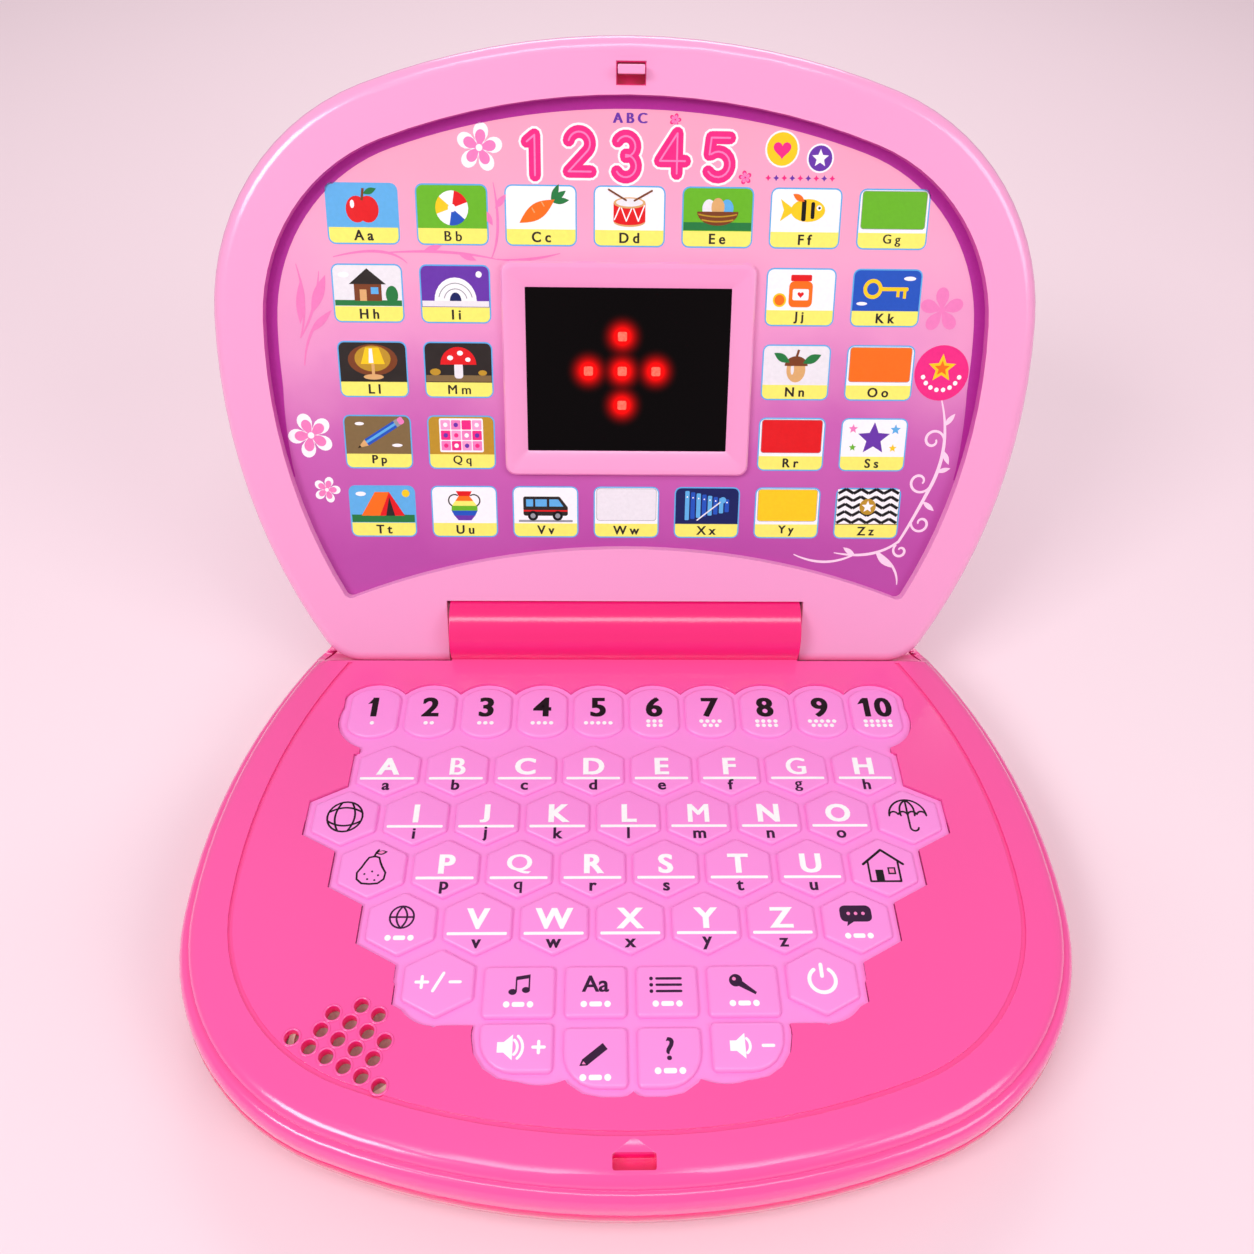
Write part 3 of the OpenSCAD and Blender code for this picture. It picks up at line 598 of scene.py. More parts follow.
def stroke(points, width, ends=None):
    """The outline of a pen line; ends gives its width at the start and the end, where that differs."""
    first, last = ends or (width, width)
    left = []
    right = []
    for i, point in enumerate(points):
        before = Vector(points[max(i - 1, 0)])
        after = Vector(points[min(i + 1, len(points) - 1)])
        along = (after - before).normalized()
        share = i / (len(points) - 1)
        edge = first * (1 - share) + last * share
        swell = edge + (width - edge) * math.sin(math.pi * share)
        side = Vector((-along.y, along.x)) * swell / 2
        left.append(tuple(Vector(point) + side))
        right.append(tuple(Vector(point) - side))
    return right + left[::-1]


def ring(u, v, radius, width):
    """A round line, as two half rings."""
    return [stroke(arc((u, v), radius, start, start + 182, 14), width) for start in (0, 180)]


def star(u, v, radius, points=5, depth=0.45):
    """A star with one point upward."""
    outline = []
    for i in range(2 * points):
        reach = radius if i % 2 == 0 else radius * depth
        angle = math.radians(90 + 180 * i / points)
        outline.append((u + reach * math.cos(angle), v + reach * math.sin(angle)))
    return outline


def blossom(u, v, radius, turn, waist):
    """A flower with round petals."""
    petals = 5
    outline = []
    steps = petals * 12
    for i in range(steps):
        angle = 2 * math.pi * i / steps
        reach = radius * (waist + (1 - waist) * abs(math.cos(petals * angle / 2)) ** 0.55)
        spin = angle + math.radians(turn)
        outline.append((u + reach * math.cos(spin), v + reach * math.sin(spin)))
    return outline


def bow(first, middle, last, steps=16):
    """Points of a curve that leaves first for middle and ends at last."""
    points = []
    for i in range(steps + 1):
        share = i / steps
        from_first = (1 - share) ** 2
        from_middle = 2 * share * (1 - share)
        from_last = share * share
        points.append(tuple(from_first * a + from_middle * b + from_last * c
                            for a, b, c in zip(first, middle, last)))
    return points


def moved(outline, u, v, turn=0.0, share=1.0):
    """An outline turned about the origin, made larger or smaller, and moved."""
    cosine = share * math.cos(math.radians(turn))
    sine = share * math.sin(math.radians(turn))
    return [(u + cosine * x - sine * y, v + sine * x + cosine * y) for x, y in outline]


def leaf(u, v, length, turn, width=0.42):
    """A pointed oval that starts at u, v and grows in the direction of its turn."""
    side = [(length * i / 12, length * width / 2 * math.sin(math.pi * i / 12)) for i in range(13)]
    return moved([(x, -y) for x, y in side] + side[-2:0:-1], u, v, turn)


def half_disc(u, v, wide, tall):
    return [(u + wide * x, v + tall * y) for x, y in arc((0, 0), 1, 0, 180, 14)]


def pen(colour, paths, width):
    """Pen lines with round ends, as films."""
    layers = []
    for path in paths:
        layers.append((colour, stroke(path, width)))
        layers += [(colour, disc(*end, width / 2, steps=10)) for end in (path[0], path[-1])]
    return layers


def lines(colour, corners, width):
    """Straight pen lines from corner to corner."""
    return pen(colour, list(zip(corners, corners[1:])), width)


def heart(u, v, size):
    outline = []
    for i in range(28):
        a = 2 * math.pi * i / 28
        x = 16 * math.sin(a) ** 3
        y = 13 * math.cos(a) - 5 * math.cos(2 * a) - 2 * math.cos(3 * a) - math.cos(4 * a)
        outline.append((u + x * size / 34, v + y * size / 34))
    return outline[::-1]


# ---------------------------------------------------------------- plan outline of the base and the lid

def meet(a, reach_a, b, reach_b):
    """The centre of an arc that is reach_a from a and reach_b from b, on the outer side."""
    a, b = Vector(a), Vector(b)
    between = b - a
    length = between.length
    along = between / length
    step = (reach_a ** 2 - reach_b ** 2 + length ** 2) / (2 * length)
    return a + along * step + Vector((along.y, -along.x)) * math.sqrt(reach_a ** 2 - step * step)


def bearing(a, b):
    return math.degrees(math.atan2(b[1] - a[1], b[0] - a[0]))


FRONT_RADIUS = 225
CORNER_RADIUS = 71
SIDE_RADIUS = 178
FRONT_CENTRE = (0, FRONT_REACH - FRONT_RADIUS)
SIDE_CENTRE = (BODY_WIDTH / 2 - SIDE_RADIUS, WIDEST_AT)
CORNER_CENTRE = meet(FRONT_CENTRE, FRONT_RADIUS - CORNER_RADIUS, SIDE_CENTRE, SIDE_RADIUS - CORNER_RADIUS)


def right_edge(inset, foot):
    """The right half of the far edge, from the middle down to where it is foot away from the hinge."""
    turn = bearing(FRONT_CENTRE, CORNER_CENTRE)
    side = bearing(SIDE_CENTRE, CORNER_CENTRE)
    low = math.degrees(math.asin((foot - WIDEST_AT) / (SIDE_RADIUS - inset)))
    return (arc(FRONT_CENTRE, FRONT_RADIUS - inset, 90, turn, 14)[:-1]
            + arc(CORNER_CENTRE, CORNER_RADIUS - inset, turn, side, 18)[:-1]
            + arc(SIDE_CENTRE, SIDE_RADIUS - inset, side, low, 14))


def whole_edge(inset, foot):
    """The far edge from left to right, this far inside the body's own edge."""
    half = right_edge(inset, foot)
    return [(-u, v) for u, v in half[:0:-1]] + half


# ---------------------------------------------------------------- shells

def near(value, target, slack=0.06):
    return abs(value - target) < slack


def deck_cover():
    """The deck, with its edges rounded; its barrel is deeper pink, and so is the inside of its latch slot, as
    painted shade.
    """
    piece = refined("base_top_cover", "deck_shell", [DECK, DEEP_PINK_AND_SHADE])
    slot_y = HINGE_Y / MM - 164.1
    slot_half_width = 5.1
    slot_half_depth = 1.9
    barrel_end = 56.5
    barrel_rear = HINGE_Y / MM + 12

    def slot_corner(a, b):
        upright = near(a.x, b.x) and near(a.y, b.y)
        return upright and near(abs(a.x), slot_half_width) and near(abs(a.y - slot_y), slot_half_depth)

    def deck_edge(a, b):
        by_slot = max(abs(a.x), abs(a.y - slot_y)) <= 6
        return near(a.z, DECK_Z) and near(b.z, DECK_Z) and not by_slot

    def barrel_rim(a, b):
        at_end = near(abs(a.x), barrel_end) and near(abs(b.x), barrel_end)
        return at_end and min(a.z, b.z) > DECK_Z and max(a.y, b.y) < barrel_rear

    soften_edges(piece, slot_corner, 1.2, 4)
    soften_edges(piece, deck_edge, 0.7, 4)
    soften_edges(piece, barrel_rim, 1.2, 4)
    bpy.ops.object.mode_set(mode="OBJECT")
    # The barrel takes the deeper pink; the inside of the latch slot takes it as painted shade.
    for face in piece.data.polygons:
        middle = face.center / MM
        within = abs(middle.x) < slot_half_width + 0.3 and abs(middle.y - slot_y) < slot_half_depth + 0.3
        in_slot = within and middle.z < DECK_Z - 0.6
        on_barrel = abs(middle.x) < barrel_end + 0.1 and middle.z > DECK_Z + 0.01
        if in_slot or on_barrel:
            face.material_index = 1
    stand_in(piece, "base_top_cover", "base")


SPEAKER_PLACE = (-69, -134.5)
SOUND_TURN = -27.5
SOUND_PITCH = 5.2
SOUND_ROW = 4.8
SOUND_COUNTS = (6, 4, 4, 2)
HOLE_RADIUS = 1.85
CLOTH_DEPTH = 2.9


def sound_hole_rims():
    """A raised bead around each sound hole, the sleeve that runs down from it in deeper pink as painted
    shade, and the cloth at its foot.
    """
    profile = ((0.62, -0.05), (0.55, 0.14), (0.3, 0.26), (0.05, 0.2), (-0.06, 0), (-0.1, -4.2), (0.3, -4.2),
               (0.3, -1.9))
    piece = empty_piece("sound_hole_rims", [DECK, DEEP_PINK_AND_SHADE, CLOTH])
    bpy.ops.object.mode_set(mode="EDIT")
    for row, count in enumerate(SOUND_COUNTS):
        for i in range(count):
            place = ((i - (count - 1) / 2) * SOUND_PITCH, (row - 1.5) * SOUND_ROW)
            (u, v), = moved([place], *SPEAKER_PLACE, SOUND_TURN)
            drawn_ring(piece, [[(x, y, DECK_Z + rise) for x, y in disc(u, v, HOLE_RADIUS + out)]
                               for out, rise in profile])
            add_plate(piece, disc(u, v, HOLE_RADIUS - 0.05), DECK_Z - CLOTH_DEPTH - 0.3, DECK_Z - CLOTH_DEPTH)
    sealed()
    bpy.ops.object.mode_set(mode="OBJECT")
    # Faces below the deck are deeper pink, painted shade down the holes; the top of the cloth takes the
    # cloth.
    for face in piece.data.polygons:
        if face.center.z / MM < DECK_Z - 0.1:
            face.material_index = 1
        if near(face.center.z / MM, DECK_Z - CLOTH_DEPTH) and face.normal.z > 0.9:
            face.material_index = 2
    settle(piece, BASE_ART)
    finish_piece(piece, "base", 50)


def belly_cover():
    """The shell under the deck, with a fine rounding around its flat bottom."""
    bottom = 1.5
    piece = refined("base_bottom_cover", "belly_shell", [SHELL])
    soften_edges(piece, lambda a, b: near(a.z, bottom) and near(b.z, bottom), 0.2, 2)
    bpy.ops.object.mode_set(mode="OBJECT")
    stand_in(piece, "base_bottom_cover", "base")


def on_rim_face(point):
    return near((LID_ART.inverted() @ (point * MM)).z / MM, RIM_W)


def around_panel(point):
    """Whether a point of the rim's face is on the edge of the panel's opening."""
    across, along, off = LID_ART.inverted() @ (point * MM) / MM
    return near(off, RIM_W) and 9 < along < 160 and (abs(across) > 60 or along > 17)


def lid_covers():
    """The rim around the panel, whose opening has a wall in a colour of its own with a painted highlight at
    its foot, and the plain back.
    """
    front = refined("lid_front_frame", "lid_rim", [LID, OPENING])
    soften_edges(front, lambda a, b: around_panel(a) and around_panel(b), 0.9, 4)
    soften_edges(front, lambda a, b: on_rim_face(a) and on_rim_face(b), 0.5, 3)
    bpy.ops.object.mode_set(mode="OBJECT")
    to_lid = LID_ART.inverted()
    # The inward faces of the opening take the wall's colour, with its painted highlight at the foot.
    for face in front.data.polygons:
        place = to_lid @ face.center / MM
        facing = to_lid.to_3x3() @ face.normal
        inward = facing.x * -place.x + facing.y * (SCREEN_AT - place.y) > 0
        if inward and abs(facing.z) < 0.8 and place.z < RIM_W - 0.15:
            face.material_index = 1
    stand_in(front, "lid_front_frame", "lid")
    back = refined("lid_back_cover", "lid_back", [LID])
    bpy.ops.object.mode_set(mode="OBJECT")
    stand_in(back, "lid_back_cover", "lid")


def screen_frame():
    """The raised frame around the screen: four mitred slopes with a soft crest."""
    width, height = 75, 63
    opening_width, opening_height = 61.2, 48.4
    corner = 3
    levels = ((0, 0), (0, 1.6), (0.5, 2.3), (1.3, 2.5), (2.0, 2.4), (6.7, 0.6), (6.9, 0.45), (6.9, 0))
    loops = []
    for inset, rise in levels:
        across = width - 2 * inset
        down = height - 2 * inset * (height - opening_height) / (width - opening_width)
        rounding = max(corner - inset * 0.6, 0.3)
        outline = panel(0, SCREEN_AT, across, down, rounding)
        loops.append([(u, v, PANEL_W + rise) for u, v in outline])
    piece = empty_piece("screen_frame", [LID])
    bpy.ops.object.mode_set(mode="EDIT")
    drawn_ring(piece, loops)
    sealed()
    bpy.ops.object.mode_set(mode="OBJECT")
    settle(piece, LID_ART)
    finish_piece(piece, "lid", 30)
    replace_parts(piece, "screen_bezel")


def lid_latch():
    """The latch: a tongue with soft edges, in a slot with a lining of deeper pink, painted shade."""
    tongue = refined("latch_hook", "latch_tongue", [LID])
    soften_edges(tongue, lambda a, b: True, 0.4, 3)
    bpy.ops.object.mode_set(mode="OBJECT")
    stand_in(tongue, "latch_hook", "lid")
    slot_at = 163.6
    top = RIM_W - 0.35
    bottom = RIM_W - 4.6
    thickness = 0.4
    loops = [[(u, v, level) for u, v in panel(0, slot_at, 8.16 - inset, 5.96 - inset, 0.3)]
             for inset, level in ((0, top), (thickness, top), (thickness, bottom), (0, bottom))]
    # The lining is deeper pink: painted shade inside the slot.
    lining = empty_piece("latch_lining", [DEEP_PINK_AND_SHADE])
    bpy.ops.object.mode_set(mode="EDIT")
    drawn_ring(lining, loops)
    add_plate(lining, panel(0, slot_at, 8.1, 5.9, 0.3), bottom - 0.3, bottom + 0.05)
    sealed()
    bpy.ops.object.mode_set(mode="OBJECT")
    settle(lining, LID_ART)
    finish_piece(lining, "lid")


# ---------------------------------------------------------------- keypad

# How much each side of a key's outline lies outside the construction cap's, and the radii of its corners.
CAP_GROWTH = 0.27
SOFT_CORNER = 1.5
ROUND_CORNER = 9


def hex_corners():
    half = 8.95 + CAP_GROWTH
    side = 4.6
    point = 9.15 + CAP_GROWTH
    return [(half, -side), (half, side), (0, point), (-half, side), (-half, -side), (0, -point)]


def number_outline():
    """Two arcs about the key's centre, joined to straight sides by rounded corners."""
    radius = 9.6 + CAP_GROWTH
    half = 7.55 + CAP_GROWTH
    corner = 3
    x = half - corner
    y = math.sqrt((radius - corner) ** 2 - x ** 2)
    turn = math.degrees(math.atan2(y, x))
    top = (arc((x, y), corner, 0, turn, 4) + arc((0, 0), radius, turn, 180 - turn, 16)[1:-1]
           + arc((-x, y), corner, 180 - turn, 180, 4))
    return top + [(-u, -v) for u, v in top]


def four_radii(width, height, left_front=SOFT_CORNER, right_front=SOFT_CORNER):
    """A rectangular key whose two front corners have radii of their own."""
    across = width / 2 + CAP_GROWTH
    down = height / 2 + CAP_GROWTH
    corners = ((1, 1, 0, SOFT_CORNER), (-1, 1, 90, SOFT_CORNER), (-1, -1, 180, left_front),
               (1, -1, 270, right_front))
    points = []
    for x, y, start, radius in corners:
        points += arc((x * (across - radius), y * (down - radius)), radius, start, start + 90, 6)
    return points


KEY_OUTLINES = {
    "hex": rounded(hex_corners(), 1.4),
    "number": number_outline(),
    "outer": four_radii(17.9, 13.4),
    "inner": four_radii(15.4, 13.4),
    "volume_up": four_radii(17.9, 12, ROUND_CORNER),
    "volume_down": four_radii(17.9, 12, SOFT_CORNER, ROUND_CORNER),
    "spell_left": four_radii(15.4, 14.6, ROUND_CORNER),
    "spell_right": four_radii(15.4, 14.6, SOFT_CORNER, ROUND_CORNER),
}


def key_cap(name, shape, u, v, low, body):
    """A key's cap from this height up to the key tops, with its rim rounded by a millimetre."""
    piece = empty_piece(name, [KEY])
    bpy.ops.object.mode_set(mode="EDIT")
    add_plate(piece, moved(KEY_OUTLINES[shape], u, v), low, KEY_TOP, 1.0)
    bpy.ops.object.mode_set(mode="OBJECT")
    settle(piece, BASE_ART)
    finish_piece(piece, body, 40)
    return piece


def spread_sides(mesh, lowest, growth):
    """Moves the upright sides above this height outwards."""
    moves = []
    for vertex in mesh.verts:
        sides = [face.normal for face in vertex.link_faces if abs(face.normal.z) < 0.1]
        if vertex.co.z / MM > lowest and sides:
            middle = sum(sides, Vector()).normalized()
            moves.append((vertex, middle * growth * MM / max(middle.dot(sides[0]), 0.5)))
    for vertex, move in moves:
        vertex.co += move


def keypad_sheet():
    """The sheet between the keys; its fixed keys are modelled apart, as raised caps on it."""
    piece = refined("keypad_mat", "keypad_sheet", [MAT])
    mesh = bmesh.from_edit_mesh(piece.data)
    bpy.ops.mesh.select_mode(type="VERT")
    bpy.ops.mesh.select_all(action="DESELECT")
    for vertex in mesh.verts:
        vertex.select_set(vertex.co.z / MM > MAT_Z + 0.05)
    bmesh.update_edit_mesh(piece.data)
    bpy.ops.mesh.delete(type="VERT")
    bpy.ops.mesh.select_non_manifold()
    bpy.ops.mesh.fill_holes(sides=0)
    bpy.ops.mesh.select_all(action="SELECT")
    bpy.ops.mesh.normals_make_consistent(inside=False)
    spread_sides(bmesh.from_edit_mesh(piece.data), DECK_Z - 2.1, 0.2)
    bmesh.update_edit_mesh(piece.data)
    bpy.ops.object.mode_set(mode="OBJECT")
    stand_in(piece, "keypad_mat", "base")


def key_centre(node):
    low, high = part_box(node)
    middle = (low + high) / 2 / MM
    return middle.x, middle.y - HINGE_Y / MM


def key_legend(name, body, layers, words=()):
    print_on(name, BASE_ART, body, KEY_TOP, layers, words)


def pips(count, u, v):
    """A row or two of small dots that count the key's number."""
    pitch = 1.9
    row_pitch = 1.7
    rows = [count] if count <= 5 else [(count + 1) // 2, count // 2]
    layers = []
    for row, many in enumerate(rows):
        for i in range(many):
            place = (u + (i - (many - 1) / 2) * pitch, v - row * row_pitch)
            layers.append(("white", disc(*place, 0.68, steps=12)))
    return layers


def moving_key(name, shape, node):
    """The cap of a key that is a body of its own; gives the key's place and its body."""
    u, v = key_centre(node)
    body = node + "_cap"
    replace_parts(key_cap(name, shape, u, v, KEY_LOW, body), node)
    return u, v, body


def number_keys():
    for number in range(1, 11):
        u, v, body = moving_key(f"cap_{number}", "number", f"key_{number}")
        layers = pips(number, u, v - 4.4 + 0.7 * (number > 5))
        if number in (1, 10):
            stem = u - (0.15 if number == 1 else 3.2)
            flag = [(stem - 2.1, v + 3.1), (stem, v + 3.6), (stem, v + 5.3), (stem - 0.7, v + 5.3)]
            layers.append(("black", flag))
        key_legend(f"legend_{number}", body, layers, [(str(number), 7.1, (u, v + 1.9), 0.42, "black", 3)])


def letter_keys():
    for letter in "abcdefghijklmnopqrstuvwxyz":
        u, v, body = moving_key("cap_" + letter, "hex", "key_" + letter)
        bar = [("white", panel(u, v - 3.3, 15.9, 0.85, 0.3))]
        lift = 0.5 if letter in "gjpqy" else 0
        key_legend("legend_" + letter, body, bar, [
            (letter.upper(), 6.1, (u, v + 1.05), 0.36, "white", 3),
            (letter, 3.5, (u, v - 5.6 + lift), 0.16, "plum", 3)])


def plus(colour, u, v, size, width):
    return (pen(colour, [[(u - size, v), (u + size, v)]], width)
            + pen(colour, [[(u, v - size), (u, v + size)]], width))


def loudspeaker(u, v, waves):
    """A small loudspeaker with its sound waves."""
    cone = [(-3.2, -1.3), (-1.6, -1.3), (0.6, -3.2), (0.6, 3.2), (-1.6, 1.3), (-3.2, 1.3)]
    layers = [("white", moved(cone, u, v))]
    for i in range(waves):
        layers += pen("white", [arc((u - 0.6, v), 2.4 + 1.3 * i, -48, 48, 8)], 0.7)
    return layers


def other_moving_keys():
    u, v, body = moving_key("cap_power", "hex", "key_power")
    sign = pen("white", [arc((u, v), 3.4, 125, 415, 24), [(u, v + 1), (u, v + 4.2)]], 1.0)
    key_legend("legend_power", body, sign)
    u, v, body = moving_key("cap_volume_up", "volume_up", "key_volume_up")
    key_legend("legend_volume_up", body, loudspeaker(u - 1.4, v, 2) + plus("white", u + 5.6, v, 1.4, 0.8))
    u, v, body = moving_key("cap_volume_down", "volume_down", "key_volume_down")
    key_legend("legend_volume_down", body,
               loudspeaker(u - 1.4, v, 1) + pen("white", [[(u + 3.6, v), (u + 6.2, v)]], 0.8))


# Signs on the fixed keys, drawn in millimetres about the key's centre.

def ball_sign():
    curves = [bow((-4.7, 1.5), (0, 4.6), (4.7, 1.5)), bow((-4.7, -1.5), (0, -4.6), (4.7, -1.5)),
              bow((-1.4, 4.8), (-4.2, 0), (-1.4, -4.8)), bow((1.4, 4.8), (4.2, 0), (1.4, -4.8))]
    return pen("black", [arc((0, 0), 5, 0, 360, 28)] + curves, 0.55)


def pear_sign():
    body = [(0.3, 3.6), (1.6, 3.2), (2.1, 1.7), (2.8, 0.2), (3.9, -1.6), (3.7, -3.6), (2.2, -4.9), (0, -5.1),
            (-2.2, -4.9), (-3.7, -3.6), (-3.9, -1.6), (-2.8, 0.2), (-2.1, 1.7), (-1.2, 3.2), (0.3, 3.6)]
    dots = [(-1.8, -2), (0.2, -1.2), (2, -2.4), (-0.8, -3.6), (1.2, -3.9)]
    return (pen("black", [body, bow((0.2, 3.5), (0.4, 4.8), (1.2, 5.6))], 0.55)
            + [("black", leaf(0.5, 4.5, 3.2, 10)), ("petal", leaf(1.0, 4.65, 2.0, 10))]
            + [("black", disc(u, v, 0.3, steps=8)) for u, v in dots])


def umbrella_sign():
    paths = [arc((0, 0), 5.4, 0, 180, 20), [(0, 5.2), (0, -4)], arc((1.2, -4), 1.2, 180, 350, 10),
             bow((0, 5.3), (-2.6, 3.6), (-2, 0)), bow((0, 5.3), (2.6, 3.6), (2, 0))]
    scallops = [arc((u, 0), 1.35, 20, 160, 8) for u in (-4.05, -1.35, 1.35, 4.05)]
    return pen("black", paths + scallops, 0.55)


def house_sign():
    return (lines("black", [(-5.6, 0.6), (0, 5.2), (5.6, 0.6)], 0.7)
            + lines("black", [(-4.2, 1.4), (-4.2, -4.8), (4.2, -4.8), (4.2, 1.4)], 0.55)
            + [("black", panel(-1.4, -3, 2.2, 3.6)), ("black", panel(2.1, -1.5, 2.2, 2.2)),
               ("petal", panel(2.1, -1.5, 1.3, 1.3))])


def globe_sign():
    curves = [bow((0, 4.8), (-2.8, 1.6), (0, -1.6)), bow((0, 4.8), (2.8, 1.6), (0, -1.6))]
    middle = [(-3.2, 1.6), (3.2, 1.6)]
    return pen("plum", [arc((0, 1.6), 3.2, 0, 360, 24), *curves, middle], 0.5) + white_marks(-4.4)


def speech_sign():
    layers = [("plum", panel(0, 2.1, 8.6, 4.8, 1.5)), ("plum", [(-2.4, 0), (-2.8, -1.6), (-0.4, 0)])]
    return layers + [("petal", disc(u, 2.1, 0.5, steps=10)) for u in (-2, 0, 2)] + white_marks(-4.4)


def white_marks(v):
    """Three white marks under a sign: a dot, a bar and a dot."""
    return [("white", disc(-3, v, 0.85, steps=12)), ("white", panel(0, v, 3.2, 1.3, 0.5)),
            ("white", disc(3, v, 0.85, steps=12))]


def note(colour, u, v):
    """Two joined music notes."""
    stems = [[(u - 0.7, v - 1.5), (u - 0.7, v + 2)], [(u + 2.6, v - 1), (u + 2.6, v + 2.5)]]
    beam = [(u - 0.85, v + 1.5), (u + 2.8, v + 2.1), (u + 2.8, v + 3.1), (u - 0.85, v + 2.5)]
    return [(colour, disc(u - 1.6, v - 1.6, 1.05, 0.8, 14)), (colour, disc(u + 1.8, v - 1.1, 1.05, 0.8, 14)),
            (colour, beam), *pen(colour, stems, 0.4)]


def note_sign():
    return note("plum", 0, 1.4) + white_marks(-3.5)


def list_sign():
    layers = []
    for v in (3.2, 1.5, -0.2):
        layers += pen("plum", [[(-2.6, v), (3.6, v)]], 0.65) + [("plum", disc(-4, v, 0.5, steps=10))]
    return layers + white_marks(-3.5)


def microphone_sign():
    return ([("plum", disc(-1.8, 2.6, 1.7)), ("petal", disc(-2.2, 3, 0.5, steps=10))]
            + [("plum", stroke([(-0.9, 1.9), (3.2, -0.9)], 1.5, (1.7, 0.7)))] + white_marks(-3.5))


def pencil_sign():
    body = [(-3.2, -0.6), (1.8, 3.4), (3, 1.9), (-2, -2.1), (-3.9, -2.2)]
    return [("plum", body), ("petal", [(-2.9, -1.1), (-2.3, -1.8), (-3.3, -1.8)])] + white_marks(-5.0)


def plus_minus_sign():
    dashes = [[(-1.2, -2.4), (1.2, 2.4)], [(3, 0), (5.6, 0)]]
    return plus("white", -4.2, 0, 1.5, 0.8) + pen("white", dashes, 0.8)


def word_marks():
    return white_marks(-3.5)


# The fixed keys: name, outline, place and sign. Two of them have a text above the sign, of this height.
FIXED_KEYS = (
    ("ball", "hex", -81.2, -70.7, ball_sign), ("pear", "hex", -71.05, -87.4, pear_sign),
    ("umbrella", "hex", 81.2, -70.7, umbrella_sign), ("house", "hex", 71.05, -87.4, house_sign),
    ("globe", "hex", -60.9, -104.1, globe_sign), ("speech", "hex", 60.9, -104.1, speech_sign),
    ("music", "outer", -28.65, -123.4, note_sign), ("song", "outer", 28.65, -123.4, microphone_sign),
    ("list", "inner", 9.1, -123.4, list_sign), ("spell", "spell_left", -9.1, -140.3, pencil_sign),
    ("plus_minus", "hex", -49.33, -120.8, plus_minus_sign), ("letters", "inner", -9.1, -123.4, word_marks),
    ("question", "spell_right", 9.1, -140.3, word_marks),
)
KEY_TEXTS = {"letters": ("Aa", 4.2), "question": ("?", 5.4)}


def fixed_keys():
    for name, shape, u, v, sign in FIXED_KEYS:
        key_cap("cap_" + name, shape, u, v, MAT_Z - 0.3, "base")
        layers = [(colour, moved(outline, u, v)) for colour, outline in sign()]
        words = [(*KEY_TEXTS[name], (u, v + 1.9), 0.14, "plum", 3)] if name in KEY_TEXTS else ()
        key_legend("legend_" + name, "base", layers, words)


# ---------------------------------------------------------------- prints on the lid

# Pictures for the tiles, drawn in millimetres about the middle of the tile's ground.

GROUND_WIDTH = 19.6


def apple():
    return [("red", disc(-1.6, -1, 3.1, 3.6)), ("red", disc(1.6, -1, 3.1, 3.6)),
            ("white", disc(-2.8, 0.4, 0.6, 1.1)), ("brown", stroke([(0, 1.4), (0.5, 4.6)], 0.7)),
            ("leaf", leaf(0.5, 3.2, 4, 20))]


def ball():
    centre = (0, -0.4)
    parts = [("white", disc(*centre, 4.7))]
    for i, colour in enumerate(("red", "sun", "blue")):
        parts.append((colour, [centre] + arc(centre, 4.7, 20 + 120 * i, 80 + 120 * i, 8)))
    return parts + [("white", disc(*centre, 1.1))]


def carrot():
    tops = [("leaf", leaf(3, 1.6, 5.2, turn, 0.34)) for turn in (5, 35, 65)]
    rings = [("tan", stroke([(u, v + 1.1), (u + 0.8, v - 0.2)], 0.3)) for u, v in ((-2.6, -1.2), (0.2, 0.5))]
    return tops + [("orange", leaf(-6.2, -4.2, 12, 32, 0.36))] + rings


def drum():
    laces = lines("white", [(-4.3, -3), (-2.6, 0.8), (-0.9, -3.4), (0.9, 0.6), (2.6, -3.4), (4.3, 0.8)], 0.35)
    sticks = pen("brown", [[(-1, 2.2), (-6, 5)], [(1.4, 2.1), (6.4, 4.8)]], 0.5)
    return [("tan", disc(0, -3.6, 4.6, 1.4)), ("red", panel(0, -1.1, 9.2, 5)),
            ("red", disc(0, -3.2, 4.6, 1.3)), *laces, ("tan", disc(0, 1.5, 4.6, 1.5)),
            ("pale", disc(0, 1.6, 3.9, 1.1)), *sticks]


def eggs():
    nest = [(u, -v - 0.6) for u, v in half_disc(0, 0, 6, 3.8)]
    return [("leaf", panel(0, -4.6, GROUND_WIDTH, 2.2)), ("pale", disc(-2.6, 0.2, 1.9, 2.5)),
            ("sky", disc(2.6, 0.2, 1.9, 2.5)), ("tan", disc(0, 0.6, 1.9, 2.5)), ("brown", nest),
            ("mustard", stroke(bow((-5.6, -1.3), (0, -2.6), (5.6, -1.3)), 0.4)),
            ("mustard", stroke(bow((-4.6, -2.8), (0, -3.8), (4.6, -2.8)), 0.4))]


def fish():
    return [("sun", [(-3, 0), (-7.4, 3), (-6.4, 0), (-7.4, -3)]), ("sun", disc(0.6, 0, 5, 3.1)),
            ("black", panel(-0.6, 0, 1.3, 5.8, 0.5)), ("black", panel(2, 0, 1.1, 4.6, 0.5)),
            ("orange", leaf(-0.5, 2.4, 4, 150)), ("white", disc(3.8, 0.7, 0.75)),
            ("black", disc(3.9, 0.7, 0.36))]


def swatch(colour):
    return [("grey", panel(0, 0.3, 18.9, 10.4, 0.9)), (colour, panel(0, 0.3, 18.6, 10.1, 0.8))]


def house():
    return [("leaf", panel(0, -4.9, GROUND_WIDTH, 1.6)), ("brown", panel(0, -1.8, 8, 5)),
            ("coal", [(-5.4, 0.4), (5.4, 0.4), (0, 4.8)]), ("tan", panel(-1.4, -2.7, 2, 3.2)),
            ("sky", panel(2, -1.4, 2.2, 1.9)), ("white", disc(-6.8, 3, 1.6, 0.8)),
            ("leaf", disc(7, -2.6, 1.8, 2.6))]


